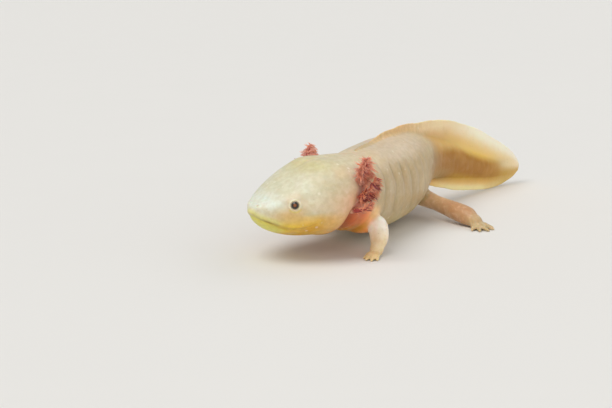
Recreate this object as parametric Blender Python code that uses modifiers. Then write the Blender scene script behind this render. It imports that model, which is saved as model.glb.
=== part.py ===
# Axolotl, adult, golden pale form, standing on four bent legs with the head
# turned to its right and the tail laid back until its lower fin meets the floor.
# Lengths below are in millimetres; MM turns them into metres.
# +Z is up, the trunk lies along Y with the tail at +Y, the animal's left is +X.
import bpy
import bmesh
import math
import numpy as np
from mathutils import Vector

MM = 0.001
TOTAL_LENGTH = 240.0        # snout to tail tip along the midline
GAP = 0.3                   # clearance between neighbouring solids
RING_POINTS = 28            # points round the body

HEAD_END = 42.0             # stations along the midline, from the snout
NECK_END = 58.0
TRUNK_END = 132.0
TAIL_CORE_END = 231.0

EYE_RADIUS = 2.0
EYE_SINK = 1.05            # depth of the eye centre below the skin
EYE_STATION = 12.6
EYE_HEIGHT = 2.2            # above the head axis

FIN_EDGE = 0.42             # half thickness of a fin at its free edge
FIN_ROOT = 0.85             # half thickness of a fin at the back

# heading of the midline, degrees from +Y toward +X, by station
HEADING = [(0, 31), (34, 31), (44, 14), (54, -3), (66, -7), (84, -3), (105, 0),
           (126, 3), (142, 10), (160, 13), (200, 14), (240, 12)]
# height of the midline above the floor, by station
AXIS_HEIGHT = [(0, 22.8), (14, 23.6), (28, 24.8), (42, 26.2), (60, 24.2), (85, 22.0),
               (104, 22.4), (126, 24.2), (142, 24.2), (160, 21.6), (180, 17.2),
               (215, 10.2), (240, 8.2)]
# half width, rise above the axis, drop below the axis, section exponent
WIDTH = [(0, 0.6), (1.5, 4.9), (4, 8.5), (9, 13.2), (16, 17.4), (25, 20.6), (31.5, 22.0),
         (36, 21.4), (41, 19.2), (48, 17.2), (56, 16.4), (66, 17.0), (80, 18.4),
         (97, 18.6), (113, 16.8), (126, 13.8), (138, 10.6), (155, 7.4), (180, 4.8),
         (205, 3.0), (226, 1.7), (240, 0.6)]
RISE = [(0, 0.4), (1.5, 1.7), (4, 3.3), (9, 6.3), (16, 10.6), (25, 14.4), (32, 15.9),
        (40, 15.2), (48, 15.4), (56, 16.2), (66, 17.6), (80, 18.8), (97, 19.2),
        (113, 18.0), (126, 15.8), (138, 13.2), (155, 10.6), (180, 8.0), (205, 5.4),
        (226, 2.9), (240, 0.8)]
DROP = [(0, 1.0), (1.5, 4.8), (4, 8.0), (9, 11.1), (16, 13.4), (25, 14.7), (33, 15.6),
        (40, 16.8), (48, 17.6), (56, 18.6), (66, 19.4), (80, 19.9), (97, 20.0),
        (113, 18.5), (126, 15.3), (138, 11.9), (155, 9.2), (180, 6.8), (205, 4.6),
        (226, 2.4), (240, 0.8)]
EXPONENT = [(0, 2.0), (9, 2.3), (40, 2.3), (56, 2.2), (85, 2.3), (110, 2.3), (126, 2.15), (150, 2.0), (240, 2.0)]
# height of the fin edge above the back, and depth of the lower fin below the tail
BACK_FIN = [(60, 0.5), (72, 1.2), (88, 2.4), (105, 3.4), (126, 4.8), (145, 8.2),
            (165, 12.0), (190, 13.2), (212, 11.4), (228, 8.0), (235, 4.8), (240, 1.4)]
LOWER_FIN = [(137, 0.6), (144, 2.0), (158, 5.0), (178, 7.2), (200, 7.2), (220, 6.0),
             (232, 4.2), (240, 1.4)]

# legs: joint centres from inside the body to the palm, the radii there, and
# the digits as (turn in degrees, length) fanned about the direction of the foot
LEGS = {
    "leg_front_left": dict(
        joints=[(2, -46, 14.6), (10.4, -48, 11.9), (19.0, -47.6, 12.2), (21.6, -50.6, 7.2), (22.4, -55.0, 2.6)],
        radii=[6.4, 4.8, 4.3, 3.9, 2.9], aim=(0.02, -1.0),
        digits=[(-27, 4.6), (-9, 5.9), (9, 6.3), (27, 5.0)]),
    "leg_front_right": dict(
        joints=[(-9, -33, 17), (-21, -22, 14.6), (-28, -13.5, 12.2), (-30.2, -16.5, 6.8), (-30.4, -21.5, 2.3)],
        radii=[7.2, 5.8, 4.4, 3.5, 2.4], aim=(-0.22, -1.0),
        digits=[(-34, 5.8), (-11, 7.2), (11, 6.8), (34, 5.2)]),
    "leg_hind_left": dict(
        joints=[(7, 30, 9.6), (18.0, 26, 7.5), (28.5, 21.2, 6.0), (36.8, 17.2, 4.7), (41.8, 14.6, 3.1)],
        radii=[5.0, 3.9, 4.5, 4.5, 3.4], aim=(0.87, -0.49),
        digits=[(-54, 5.2), (-27, 6.6), (0, 7.2), (27, 7.0), (53, 6.0)]),
    "leg_hind_right": dict(
        joints=[(-6, 30, 15), (-18.5, 29, 10.4), (-29, 27.5, 7.8), (-36, 22.5, 5.0), (-40.4, 17.8, 2.3)],
        radii=[7.2, 5.3, 4.4, 3.6, 2.7], aim=(-0.64, -0.77),
        digits=[(-51, 5.8), (-26, 7.6), (0, 8.2), (26, 7.2), (52, 5.2)]),
}
DIGIT_ROOT = 1.25
DIGIT_TIP = 0.65

# gills: station and height of the root, then the run to the tip split into
# backward, outward and upward parts, and the greatest half width
GILLS = {
    "gill_left_upper": dict(side=1, root=(39.2, 6.6), run=(2.6, 2.4, 10.0), width=4.2),
    "gill_left_middle": dict(side=1, root=(38.0, -0.9), run=(6.8, 3.6, 10.0), width=4.0),
    "gill_left_lower": dict(side=1, root=(36.2, -5.0), run=(6.2, 4.4, 4.2), width=3.1),
    "gill_right_upper": dict(side=-1, root=(39.2, 6.6), run=(7.0, 2.4, 10.0), width=4.2),
    "gill_right_middle": dict(side=-1, root=(38.0, -0.9), run=(4.0, 6.2, 11.6), width=4.4),
    "gill_right_lower": dict(side=-1, root=(36.0, -6.4), run=(8.2, 6.4, 3.6), width=4.0),
}
GILL_THICKNESS = 2.1        # half thickness where the gill is fullest

MOUTH = [(0.0, -2.0), (2.5, -3.9), (5.2, -5.3), (8.5, -7.0), (11.2, -7.9), (15.0, -8.2)]


def smooth(table, x):
    """Monotone cubic through the stations of a table."""
    xs = np.array([p[0] for p in table], float)
    ys = np.array([p[1] for p in table], float)
    x = np.clip(np.asarray(x, float), xs[0], xs[-1])
    h = np.diff(xs)
    d = np.diff(ys) / h
    m = np.zeros_like(ys)
    for i in range(1, len(xs) - 1):
        if d[i - 1] * d[i] > 0:
            w1, w2 = 2 * h[i] + h[i - 1], h[i] + 2 * h[i - 1]
            m[i] = (w1 + w2) / (w1 / d[i - 1] + w2 / d[i])
    m[0], m[-1] = d[0], d[-1]
    i = np.clip(np.searchsorted(xs, x, side="right") - 1, 0, len(xs) - 2)
    t = (x - xs[i]) / h[i]
    return ((2 * t**3 - 3 * t**2 + 1) * ys[i] + (t**3 - 2 * t**2 + t) * h[i] * m[i]
            + (-2 * t**3 + 3 * t**2) * ys[i + 1] + (t**3 - t**2) * h[i] * m[i + 1])


def midline():
    """Positions and frames along the body, finely sampled."""
    t = np.linspace(0, TOTAL_LENGTH, 1201)
    turn = np.radians(smooth(HEADING, t))
    height = smooth(AXIS_HEIGHT, t)
    slope = np.arcsin(np.clip(np.gradient(height, t), -0.9, 0.9))
    back = np.stack([np.sin(turn) * np.cos(slope), np.cos(turn) * np.cos(slope), np.sin(slope)], 1)
    step = (back[1:] + back[:-1]) / 2 * np.diff(t)[:, None]
    place = np.concatenate([np.zeros((1, 3)), np.cumsum(step, 0)])
    place -= [np.interp(95.0, t, place[:, k]) for k in range(3)]
    place[:, 2] = height
    return t, place, back


MID_T, MID_P, MID_D = midline()


def frame_at(s):
    """Centre, backward, left and up directions at station s."""
    p = np.array([np.interp(s, MID_T, MID_P[:, k]) for k in range(3)])
    d = np.array([np.interp(s, MID_T, MID_D[:, k]) for k in range(3)])
    d /= np.linalg.norm(d)
    left = np.cross([0, 0, 1.0], -d)
    left /= np.linalg.norm(left)
    up = np.cross(-d, left)
    return p, d, left, up


def section(s, angle, grow=0.0):
    """Point of the body surface at a station and an angle (0 left, 90 top)."""
    p, d, left, up = frame_at(s)
    w = float(smooth(WIDTH, s)) + grow
    e = 2.0 / float(smooth(EXPONENT, s))
    c, q = math.cos(angle), math.sin(angle)
    v = (float(smooth(RISE, s)) if q >= 0 else float(smooth(DROP, s))) + grow
    x = w * math.copysign(abs(c) ** e, c)
    z = v * math.copysign(abs(q) ** e, q)
    return p + x * left + z * up


def surface(s, height, side, grow=0.0):
    """Point and outward direction on the side of the body at a height over the axis."""
    v = float(smooth(RISE, s)) if height >= 0 else float(smooth(DROP, s))
    e = 2.0 / float(smooth(EXPONENT, s))
    q = min(0.999, (abs(height) / v)) ** (1 / e)
    angle = math.copysign(math.asin(q), height)
    if side < 0:
        angle = math.pi - angle
    a = section(s, angle, grow)
    ds = section(s + 0.4, angle, grow) - section(s - 0.4 if s > 0.4 else s, angle, grow)
    da = section(s, angle + 0.03, grow) - section(s, angle - 0.03, grow)
    n = np.cross(da, ds)
    n /= np.linalg.norm(n)
    p = frame_at(s)[0]
    if n @ (a - p) < 0:
        n = -n
    return a, n


# ---------------------------------------------------------------- mesh helpers
for old in list(bpy.data.objects):
    bpy.data.objects.remove(old, do_unlink=True)
SET = bpy.data.collections.new("axolotl")
bpy.context.scene.collection.children.link(SET)


def material(name, colour, roughness):
    m = bpy.data.materials.new(name)
    m.use_nodes = True
    b = m.node_tree.nodes["Principled BSDF"]
    b.inputs["Base Color"].default_value = (*colour, 1.0)
    b.inputs["Roughness"].default_value = roughness
    b.inputs["Metallic"].default_value = 0.0
    return m


def mesh_object(name, points, faces):
    me = bpy.data.meshes.new(name)
    me.from_pydata([tuple(float(c) * MM for c in p) for p in points], [], faces)
    me.validate()
    ob = bpy.data.objects.new(name, me)
    SET.objects.link(ob)
    face_out(ob)
    return ob


def face_out(ob):
    bm = bmesh.new()
    bm.from_mesh(ob.data)
    bmesh.ops.recalc_face_normals(bm, faces=bm.faces)
    if bm.calc_volume(signed=True) < 0:
        bmesh.ops.reverse_faces(bm, faces=bm.faces)
    bm.to_mesh(ob.data)
    bm.free()


def loft(name, rings, smooth_shade=True):
    """Closed solid through rings of equal point count, with flat ends."""
    n = len(rings[0])
    points = [p for r in rings for p in r]
    faces = []
    for i in range(len(rings) - 1):
        for j in range(n):
            k = (j + 1) % n
            faces.append((i * n + j, i * n + k, (i + 1) * n + k, (i + 1) * n + j))
    faces.append(tuple(range(n - 1, -1, -1)))
    last = (len(rings) - 1) * n
    faces.append(tuple(range(last, last + n)))
    ob = mesh_object(name, points, faces)
    shade(ob, smooth_shade)
    return ob


def shade(ob, on=True, limit=50.0):
    """Smooth faces, with sharp edges where the surface turns hard."""
    bm = bmesh.new()
    bm.from_mesh(ob.data)
    for f in bm.faces:
        f.smooth = on
    for e in bm.edges:
        if len(e.link_faces) == 2 and e.calc_face_angle(0.0) > math.radians(limit):
            e.smooth = False
    bm.to_mesh(ob.data)
    bm.free()


def bake(ob):
    """Replace the mesh of an object by the result of its modifiers."""
    graph = bpy.context.evaluated_depsgraph_get()
    new = bpy.data.meshes.new_from_object(ob.evaluated_get(graph))
    ob.modifiers.clear()
    ob.data = new


def cut(ob, tool):
    m = ob.modifiers.new("cut", "BOOLEAN")
    m.operation = "DIFFERENCE"
    m.solver = "EXACT"
    m.object = tool
    bake(ob)


def keep_largest(ob):
    """Keep the biggest connected shell, drop the rest and tidy tiny edges."""
    bm = bmesh.new()
    bm.from_mesh(ob.data)
    bmesh.ops.remove_doubles(bm, verts=bm.verts, dist=0.00002)
    bmesh.ops.dissolve_degenerate(bm, edges=bm.edges, dist=0.00001)
    bm.verts.ensure_lookup_table()
    seen, groups = set(), []
    for v in bm.verts:
        if v in seen:
            continue
        stack, group = [v], []
        seen.add(v)
        while stack:
            w = stack.pop()
            group.append(w)
            for e in w.link_edges:
                o = e.other_vert(w)
                if o not in seen:
                    seen.add(o)
                    stack.append(o)
        groups.append(group)
    groups.sort(key=len, reverse=True)
    for g in groups[1:]:
        bmesh.ops.delete(bm, geom=g, context="VERTS")
    bmesh.ops.triangulate(bm, faces=bm.faces)
    bm.to_mesh(ob.data)
    bm.free()
    face_out(ob)


def drop(ob):
    bpy.data.objects.remove(ob, do_unlink=True)


def paint(ob, mat):
    ob.data.materials.clear()
    ob.data.materials.append(mat)
    for p in ob.data.polygons:
        p.material_index = 0


def body_rings(stations, grow=0.0, n=RING_POINTS):
    return [[section(s, 2 * math.pi * j / n, grow) for j in range(n)] for s in stations]


def spaced(first, last, step):
    n = max(1, round((last - first) / step))
    return [first + (last - first) * i / n for i in range(n + 1)]


# --------------------------------------------------------------------- the body
head_stations = [0.0, 0.7, 1.8, 3.4, 5.6, 8.4] + spaced(11.5, 38.0, 3.4) + [40.2, HEAD_END]
neck_stations = spaced(HEAD_END + GAP, NECK_END, 3.9)
trunk_stations = spaced(NECK_END + GAP, TRUNK_END, 4.6)
tail_stations = spaced(TRUNK_END + GAP, TAIL_CORE_END, 4.7)

head = loft("head", body_rings(head_stations))
neck = loft("neck", body_rings(neck_stations))
trunk = loft("trunk", body_rings(trunk_stations))
tail = loft("tail", body_rings(tail_stations))

# a slightly larger body, used to trim what meets the skin
jacket = loft("jacket", body_rings([18.0] + spaced(22.0, 150.0, 3.2), GAP + 0.12))


# mouth: a narrow groove along the lip line from corner to corner
def mouth_groove():
    rings = []
    path = [(s, -1) for s in (14.6, 12.6, 10.0, 7.2, 4.6, 2.6, 1.2)] + [(s, 1) for s in (1.2, 2.6, 4.6, 7.2, 10.0, 12.6, 14.6)]
    for i, (s, side) in enumerate(path):
        a, n = surface(s, float(smooth(MOUTH, s)), side)
        up = frame_at(s)[3]
        deep = 1.5 if 0 < i < len(path) - 1 else 0.5
        tall = 0.32 if 0 < i < len(path) - 1 else 0.12
        rings.append([a + n * 1.2 + up * tall * 1.6, a - n * deep + up * tall * 0.5,
                      a - n * deep - up * tall * 0.5, a + n * 1.2 - up * tall * 1.6])
    return loft("groove", rings, False)


groove = mouth_groove()
cut(head, groove)
drop(groove)

# eyes: spheres set into round sockets
eyes = []
for label, side in (("left", 1), ("right", -1)):
    a, n = surface(EYE_STATION, EYE_HEIGHT, side)
    centre = a - n * EYE_SINK
    for name, radius, rows in (("socket", EYE_RADIUS + GAP, 12), ("eye_" + label, EYE_RADIUS, 10)):
        bm = bmesh.new()
        bmesh.ops.create_uvsphere(bm, u_segments=14, v_segments=rows, radius=radius * MM)
        turn = Vector((0, 0, 1)).rotation_difference(Vector(n)).to_matrix().to_4x4()
        bmesh.ops.transform(bm, matrix=turn, verts=bm.verts)
        bmesh.ops.translate(bm, vec=Vector(centre) * MM, verts=bm.verts)
        me = bpy.data.meshes.new(name)
        bm.to_mesh(me)
        bm.free()
        ball = bpy.data.objects.new(name, me)
        SET.objects.link(ball)
        face_out(ball)
        if name == "socket":
            cut(head, ball)
            drop(ball)
        else:
            shade(ball)
            eyes.append(ball)
keep_largest(head)
shade(head)


# --------------------------------------------------------------------- the fins
def fin(name, stations, table, upper):
    """Thin blade standing on the ridge of the body, just clear of it."""
    rings = []
    for s in stations:
        p, d, left, up = frame_at(s)
        sign = 1.0 if upper else -1.0
        core = float(smooth(RISE if upper else DROP, s))
        base = core + GAP if s < TAIL_CORE_END + GAP else GAP / 2
        edge = core + float(smooth(table, s))
        edge = max(edge, base + 0.7)
        fade = min(1.0, (edge - base) / 4.0)
        root = FIN_ROOT * (0.45 + 0.55 * fade)
        if s > TAIL_CORE_END - 24:
            root = min(root, max(0.42, float(smooth(WIDTH, s)) * 0.42))
        row = []
        for x, f in ((root, 0.0), (root * 0.82, 0.35), (FIN_EDGE * 1.15, 0.8), (FIN_EDGE, 1.0),
                     (-FIN_EDGE, 1.0), (-FIN_EDGE * 1.15, 0.8), (-root * 0.82, 0.35), (-root, 0.0)):
            q = p + left * x + up * sign * (base + (edge - base) * f)
            q[2] = max(q[2], 0.0)
            row.append(q)
        rings.append(row)
    ob = loft(name, rings)
    shade(ob, True, 40.0)
    return ob


back_stations = [s for s in trunk_stations if s > 60.0]
dorsal_fin = fin("dorsal_fin", [NECK_END + 3.0] + back_stations[0:], BACK_FIN, True)
tip_stations = [TAIL_CORE_END + GAP, TAIL_CORE_END + 2 * GAP, 234.6, 237.6, TOTAL_LENGTH]
tail_upper = fin("tail_fin_upper", tail_stations + tip_stations, BACK_FIN, True)
lower_start = [s for s in tail_stations if s > 138.0]
tail_lower = fin("tail_fin_lower", lower_start + tip_stations, LOWER_FIN, False)


# --------------------------------------------------------------------- the legs
def smooth_path(points, n):
    pts = np.array(points, float)
    t = np.concatenate([[0], np.cumsum(np.linalg.norm(np.diff(pts, axis=0), axis=1))])
    slope = np.gradient(pts, t, axis=0)
    out, share = [], []
    for x in np.linspace(0, t[-1], n):
        i = min(max(int(np.searchsorted(t, x, side="right")) - 1, 0), len(t) - 2)
        h = t[i + 1] - t[i]
        w = (x - t[i]) / h
        out.append((2 * w**3 - 3 * w**2 + 1) * pts[i] + (w**3 - 2 * w**2 + w) * h * slope[i]
                   + (-2 * w**3 + 3 * w**2) * pts[i + 1] + (w**3 - w**2) * h * slope[i + 1])
        share.append(i + w)
    return np.array(out), np.array(share)


def tube_rings(path, radii, n=14, flat=1.0):
    """Rings across a path; flat below one squashes them vertically."""
    t = np.gradient(path, axis=0)
    rings = []
    for p, q, r in zip(path, t, radii):
        q = q / np.linalg.norm(q)
        a = np.cross([0, 0, 1.0], q)
        if np.linalg.norm(a) < 0.05:
            a = np.array([1.0, 0, 0])
        a /= np.linalg.norm(a)
        b = np.cross(q, a)
        rings.append([p + r * (math.cos(2 * math.pi * j / n) * a + flat * math.sin(2 * math.pi * j / n) * b)
                      for j in range(n)])
    return rings


def rounded(path, radii):
    """Close both ends of a tube with a short dome."""
    first, last = path[0] - path[1], path[-1] - path[-2]
    first, last = first / np.linalg.norm(first), last / np.linalg.norm(last)
    p = [path[0] + first * radii[0] * 0.75] + list(path) + [path[-1] + last * radii[-1] * 0.75]
    r = [radii[0] * 0.55] + list(radii) + [radii[-1] * 0.55]
    return np.array(p), r


def leg_pieces(spec):
    """Tube of the limb, a palm and tapering digits, as point rings."""
    pieces = []
    path, share = smooth_path(spec["joints"], 15)
    radii = np.interp(share, range(len(spec["radii"])), spec["radii"])
    p, r = rounded(path, list(radii))
    pieces.append(tube_rings(p, r, 14, 0.92))
    wrist = np.array(spec["joints"][-1], float)
    aim = math.atan2(spec["aim"][1], spec["aim"][0])
    for k, (turn, length) in enumerate(spec["digits"]):
        a = aim + math.radians(turn)
        way = np.array([math.cos(a), math.sin(a), 0.0])
        start = wrist + way * 0.6 - np.array([0, 0, 0.5])
        knuckle = wrist + way * (2.0 + length * 0.45)
        knuckle[2] = 1.55
        end = wrist + way * (2.0 + length)
        end[2] = 0.55
        q, share = smooth_path([start, knuckle, end], 7)
        radii = np.interp(share, [0, 1, 2], [1.7, DIGIT_ROOT, DIGIT_TIP])
        q, r = rounded(q, list(radii))
        pieces.append(tube_rings(q, r, 10, 0.9))
    return pieces


def joined(name, groups):
    """One object holding several closed lofts."""
    points, faces = [], []
    for rings in groups:
        base, n = len(points), len(rings[0])
        points += [p for r in rings for p in r]
        for i in range(len(rings) - 1):
            for j in range(n):
                k = (j + 1) % n
                faces.append((base + i * n + j, base + i * n + k, base + (i + 1) * n + k, base + (i + 1) * n + j))
        faces.append(tuple(base + j for j in range(n - 1, -1, -1)))
        last = base + (len(rings) - 1) * n
        faces.append(tuple(last + j for j in range(n)))
    return mesh_object(name, points, faces)


def box(name, low, high):
    bm = bmesh.new()
    bmesh.ops.create_cube(bm, size=1.0)
    for v in bm.verts:
        v.co = Vector([(low[k] if v.co[k] < 0 else high[k]) * MM for k in range(3)])
    me = bpy.data.meshes.new(name)
    bm.to_mesh(me)
    bm.free()
    ob = bpy.data.objects.new(name, me)
    SET.objects.link(ob)
    face_out(ob)
    return ob


floor = box("floor", (-90, -120, -30), (90, 60, 0.0))
legs = []
LEG_TRIANGLES = 580
for name, spec in LEGS.items():
    ob = joined(name, leg_pieces(spec))
    m = ob.modifiers.new("fuse", "REMESH")
    m.mode = "VOXEL"
    m.voxel_size = 0.4 * MM
    m.adaptivity = 0.0
    bake(ob)
    m = ob.modifiers.new("soften", "SMOOTH")
    m.factor = 0.5
    m.iterations = 3
    bake(ob)
    count = sum(len(p.vertices) - 2 for p in ob.data.polygons)
    m = ob.modifiers.new("reduce", "DECIMATE")
    m.ratio = LEG_TRIANGLES / count
    bake(ob)
    cut(ob, floor)
    cut(ob, jacket)
    keep_largest(ob)
    shade(ob, True, 55.0)
    legs.append(ob)


# -------------------------------------------------------------------- the gills
def gill(name, spec):
    """Bushy blade round a tapering stalk, leaning back from the corner of the head."""
    s, height = spec["root"]
    side = spec["side"]
    a, n = surface(s, height, side)
    p, d, left, up = frame_at(s)
    back, out, rise = spec["run"]
    run = d * back + left * side * out + up * rise
    root = a - n * 1.2
    tip = a + run + n * 0.8
    middle = (root + tip) / 2 + n * 1.4
    path, share = smooth_path([root, middle, tip], 11)
    rings = []
    count = 12
    for i, q in enumerate(path):
        t = i / (len(path) - 1)
        ahead = path[min(i + 1, len(path) - 1)] - path[max(i - 1, 0)]
        ahead /= np.linalg.norm(ahead)
        across = np.cross(ahead, n)
        across /= np.linalg.norm(across)
        thick = np.cross(across, ahead)
        # narrow stalk at the root, fullest past the middle, blunt tip; the
        # tufts make the outline lobed
        full = math.sin(math.pi * min(1.0, 0.12 + 0.80 * t)) ** 0.7
        lobe = 1.0 + 0.09 * math.cos(5 * math.pi * t)
        w = max(0.55, spec["width"] * full * lobe * (0.45 + 0.55 * min(1.0, t * 3)))
        h = max(0.5, GILL_THICKNESS * full * (0.6 + 0.4 * min(1.0, t * 3)))
        rings.append([q + across * w * math.cos(2 * math.pi * j / count) + thick * h * math.sin(2 * math.pi * j / count)
                      for j in range(count)])
    ob = loft(name, rings)
    cut(ob, jacket)
    keep_largest(ob)
    shade(ob, True, 60.0)
    return ob


gills = [gill(name, spec) for name, spec in GILLS.items()]
drop(floor)
drop(jacket)

# ---------------------------------------------------------------- surface finish
paint(head, material("skin_head", (0.80, 0.66, 0.34), 0.42))
paint(neck, material("skin_neck", (0.76, 0.60, 0.38), 0.45))
paint(trunk, material("skin_trunk", (0.70, 0.57, 0.38), 0.45))
paint(tail, material("skin_tail", (0.68, 0.42, 0.16), 0.45))
paint(dorsal_fin, material("fin_back", (0.78, 0.50, 0.18), 0.40))
paint(tail_upper, material("fin_tail_upper", (0.80, 0.50, 0.14), 0.40))
paint(tail_lower, material("fin_tail_lower", (0.80, 0.50, 0.14), 0.40))
for ob in legs:
    paint(ob, material("skin_" + ob.name, (0.76, 0.58, 0.32), 0.45))
for ob in gills:
    paint(ob, material("frill_" + ob.name, (0.62, 0.13, 0.07), 0.40))
for ob in eyes:
    paint(ob, material(ob.name + "_gloss", (0.05, 0.035, 0.03), 0.12))

# the middle of the plan and the soles go to the origin
low = Vector((1e9, 1e9, 1e9))
high = -low
for ob in SET.objects:
    for v in ob.data.vertices:
        for k in range(3):
            low[k] = min(low[k], v.co[k])
            high[k] = max(high[k], v.co[k])
shift = Vector((-(low[0] + high[0]) / 2, -(low[1] + high[1]) / 2, -low[2]))
for ob in SET.objects:
    for v in ob.data.vertices:
        v.co += shift
    ob.data.update()
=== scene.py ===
import bpy
import bmesh
import math
import numpy as np
from mathutils import Matrix, Vector


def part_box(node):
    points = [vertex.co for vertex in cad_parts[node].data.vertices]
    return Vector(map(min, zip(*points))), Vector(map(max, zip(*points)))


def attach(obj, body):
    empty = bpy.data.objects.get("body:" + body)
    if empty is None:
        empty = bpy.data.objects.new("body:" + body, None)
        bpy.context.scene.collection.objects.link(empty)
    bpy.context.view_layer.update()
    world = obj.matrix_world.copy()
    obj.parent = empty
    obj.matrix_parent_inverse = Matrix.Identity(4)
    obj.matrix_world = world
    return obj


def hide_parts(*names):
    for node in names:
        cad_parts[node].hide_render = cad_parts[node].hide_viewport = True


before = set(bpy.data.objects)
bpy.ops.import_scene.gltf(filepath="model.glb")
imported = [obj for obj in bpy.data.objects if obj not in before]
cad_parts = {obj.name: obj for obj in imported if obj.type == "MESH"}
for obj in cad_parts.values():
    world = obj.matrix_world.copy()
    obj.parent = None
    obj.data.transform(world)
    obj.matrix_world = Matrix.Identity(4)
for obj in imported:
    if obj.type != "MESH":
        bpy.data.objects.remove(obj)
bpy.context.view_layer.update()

MM = 0.001
RNG = np.random.default_rng(41)

# ------------------------------------------------------------------ named sizes
# millimetres; stations run along the midline from the snout to the tail tip
TOTAL_LENGTH = 240.0
NECK_END, TRUNK_END, TAIL_CORE_END, GAP = 58.0, 132.0, 231.0, 0.3
RING_POINTS = 28
EYE_RADIUS, EYE_SINK, EYE_STATION, EYE_HEIGHT = 2.0, 1.05, 12.6, 2.2
FIN_EDGE, FIN_ROOT = 0.42, 0.85

HEADING = [(0, 31), (34, 31), (44, 14), (54, -3), (66, -7), (84, -3), (105, 0),
           (126, 3), (142, 10), (160, 13), (200, 14), (240, 12)]
AXIS_HEIGHT = [(0, 22.8), (14, 23.6), (28, 24.8), (42, 26.2), (60, 24.2), (85, 22.0),
               (104, 22.4), (126, 24.2), (142, 24.2), (160, 21.6), (180, 17.2),
               (215, 10.2), (240, 8.2)]
WIDTH = [(0, 0.6), (1.5, 4.9), (4, 8.5), (9, 13.2), (16, 17.4), (25, 20.6), (31.5, 22.0),
         (36, 21.4), (41, 19.2), (48, 17.2), (56, 16.4), (66, 17.0), (80, 18.4),
         (97, 18.6), (113, 16.8), (126, 13.8), (138, 10.6), (155, 7.4), (180, 4.8),
         (205, 3.0), (226, 1.7), (240, 0.6)]
RISE = [(0, 0.4), (1.5, 1.7), (4, 3.3), (9, 6.3), (16, 10.6), (25, 14.4), (32, 15.9),
        (40, 15.2), (48, 15.4), (56, 16.2), (66, 17.6), (80, 18.8), (97, 19.2),
        (113, 18.0), (126, 15.8), (138, 13.2), (155, 10.6), (180, 8.0), (205, 5.4),
        (226, 2.9), (240, 0.8)]
DROP = [(0, 1.0), (1.5, 4.8), (4, 8.0), (9, 11.1), (16, 13.4), (25, 14.7), (33, 15.6),
        (40, 16.8), (48, 17.6), (56, 18.6), (66, 19.4), (80, 19.9), (97, 20.0),
        (113, 18.5), (126, 15.3), (138, 11.9), (155, 9.2), (180, 6.8), (205, 4.6),
        (226, 2.4), (240, 0.8)]
EXPONENT = [(0, 2.0), (9, 2.3), (40, 2.3), (56, 2.2), (85, 2.3), (110, 2.3), (126, 2.15), (150, 2.0), (240, 2.0)]
BACK_FIN = [(60, 0.5), (72, 1.2), (88, 2.4), (105, 3.4), (126, 4.8), (145, 8.2),
            (165, 12.0), (190, 13.2), (212, 11.4), (228, 8.0), (235, 4.8), (240, 1.4)]
LOWER_FIN = [(137, 0.6), (144, 2.0), (158, 5.0), (178, 7.2), (200, 7.2), (220, 6.0),
             (232, 4.2), (240, 1.4)]
LEGS = {
    "leg_front_left": dict(
        joints=[(2, -46, 14.6), (10.4, -48, 11.9), (19.0, -47.6, 12.2), (21.6, -50.6, 7.2), (22.4, -55.0, 2.6)],
        radii=[6.4, 4.8, 4.3, 3.9, 2.9], aim=(0.02, -1.0),
        digits=[(-27, 4.6), (-9, 5.9), (9, 6.3), (27, 5.0)]),
    "leg_front_right": dict(
        joints=[(-9, -33, 17), (-21, -22, 14.6), (-28, -13.5, 12.2), (-30.2, -16.5, 6.8), (-30.4, -21.5, 2.3)],
        radii=[7.2, 5.8, 4.4, 3.5, 2.4], aim=(-0.22, -1.0),
        digits=[(-34, 5.8), (-11, 7.2), (11, 6.8), (34, 5.2)]),
    "leg_hind_left": dict(
        joints=[(7, 30, 9.6), (18.0, 26, 7.5), (28.5, 21.2, 6.0), (36.8, 17.2, 4.7), (41.8, 14.6, 3.1)],
        radii=[5.0, 3.9, 4.5, 4.5, 3.4], aim=(0.87, -0.49),
        digits=[(-54, 5.2), (-27, 6.6), (0, 7.2), (27, 7.0), (53, 6.0)]),
    "leg_hind_right": dict(
        joints=[(-6, 30, 15), (-18.5, 29, 10.4), (-29, 27.5, 7.8), (-36, 22.5, 5.0), (-40.4, 17.8, 2.3)],
        radii=[7.2, 5.3, 4.4, 3.6, 2.7], aim=(-0.64, -0.77),
        digits=[(-51, 5.8), (-26, 7.6), (0, 8.2), (26, 7.2), (52, 5.2)]),
}
DIGIT_ROOT, DIGIT_TIP = 1.25, 0.65
GILLS = {
    "gill_left_upper": dict(side=1, root=(39.2, 6.6), run=(2.6, 2.4, 10.0), width=4.2),
    "gill_left_middle": dict(side=1, root=(38.0, -0.9), run=(6.8, 3.6, 10.0), width=4.0),
    "gill_left_lower": dict(side=1, root=(36.2, -5.0), run=(6.2, 4.4, 4.2), width=3.1),
    "gill_right_upper": dict(side=-1, root=(39.2, 6.6), run=(7.0, 2.4, 10.0), width=4.2),
    "gill_right_middle": dict(side=-1, root=(38.0, -0.9), run=(4.0, 6.2, 11.6), width=4.4),
    "gill_right_lower": dict(side=-1, root=(36.0, -6.4), run=(8.2, 6.4, 3.6), width=4.0),
}
GILL_THICKNESS = 2.1
MOUTH = [(0.0, -2.0), (2.5, -3.9), (5.2, -5.3), (8.5, -7.0), (11.2, -7.9), (15.0, -8.2), (17.5, -7.6), (21.0, -6.4)]
MOUTH_CORNER = 15.5
# rear edge of the cheek: height over the axis, station
CHEEK_EDGE = [(-17, 27.4), (-12, 30.4), (-9, 31.7), (-5, 33.8), (-1, 36.7), (6, 39.4), (14, 41.0)]


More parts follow.
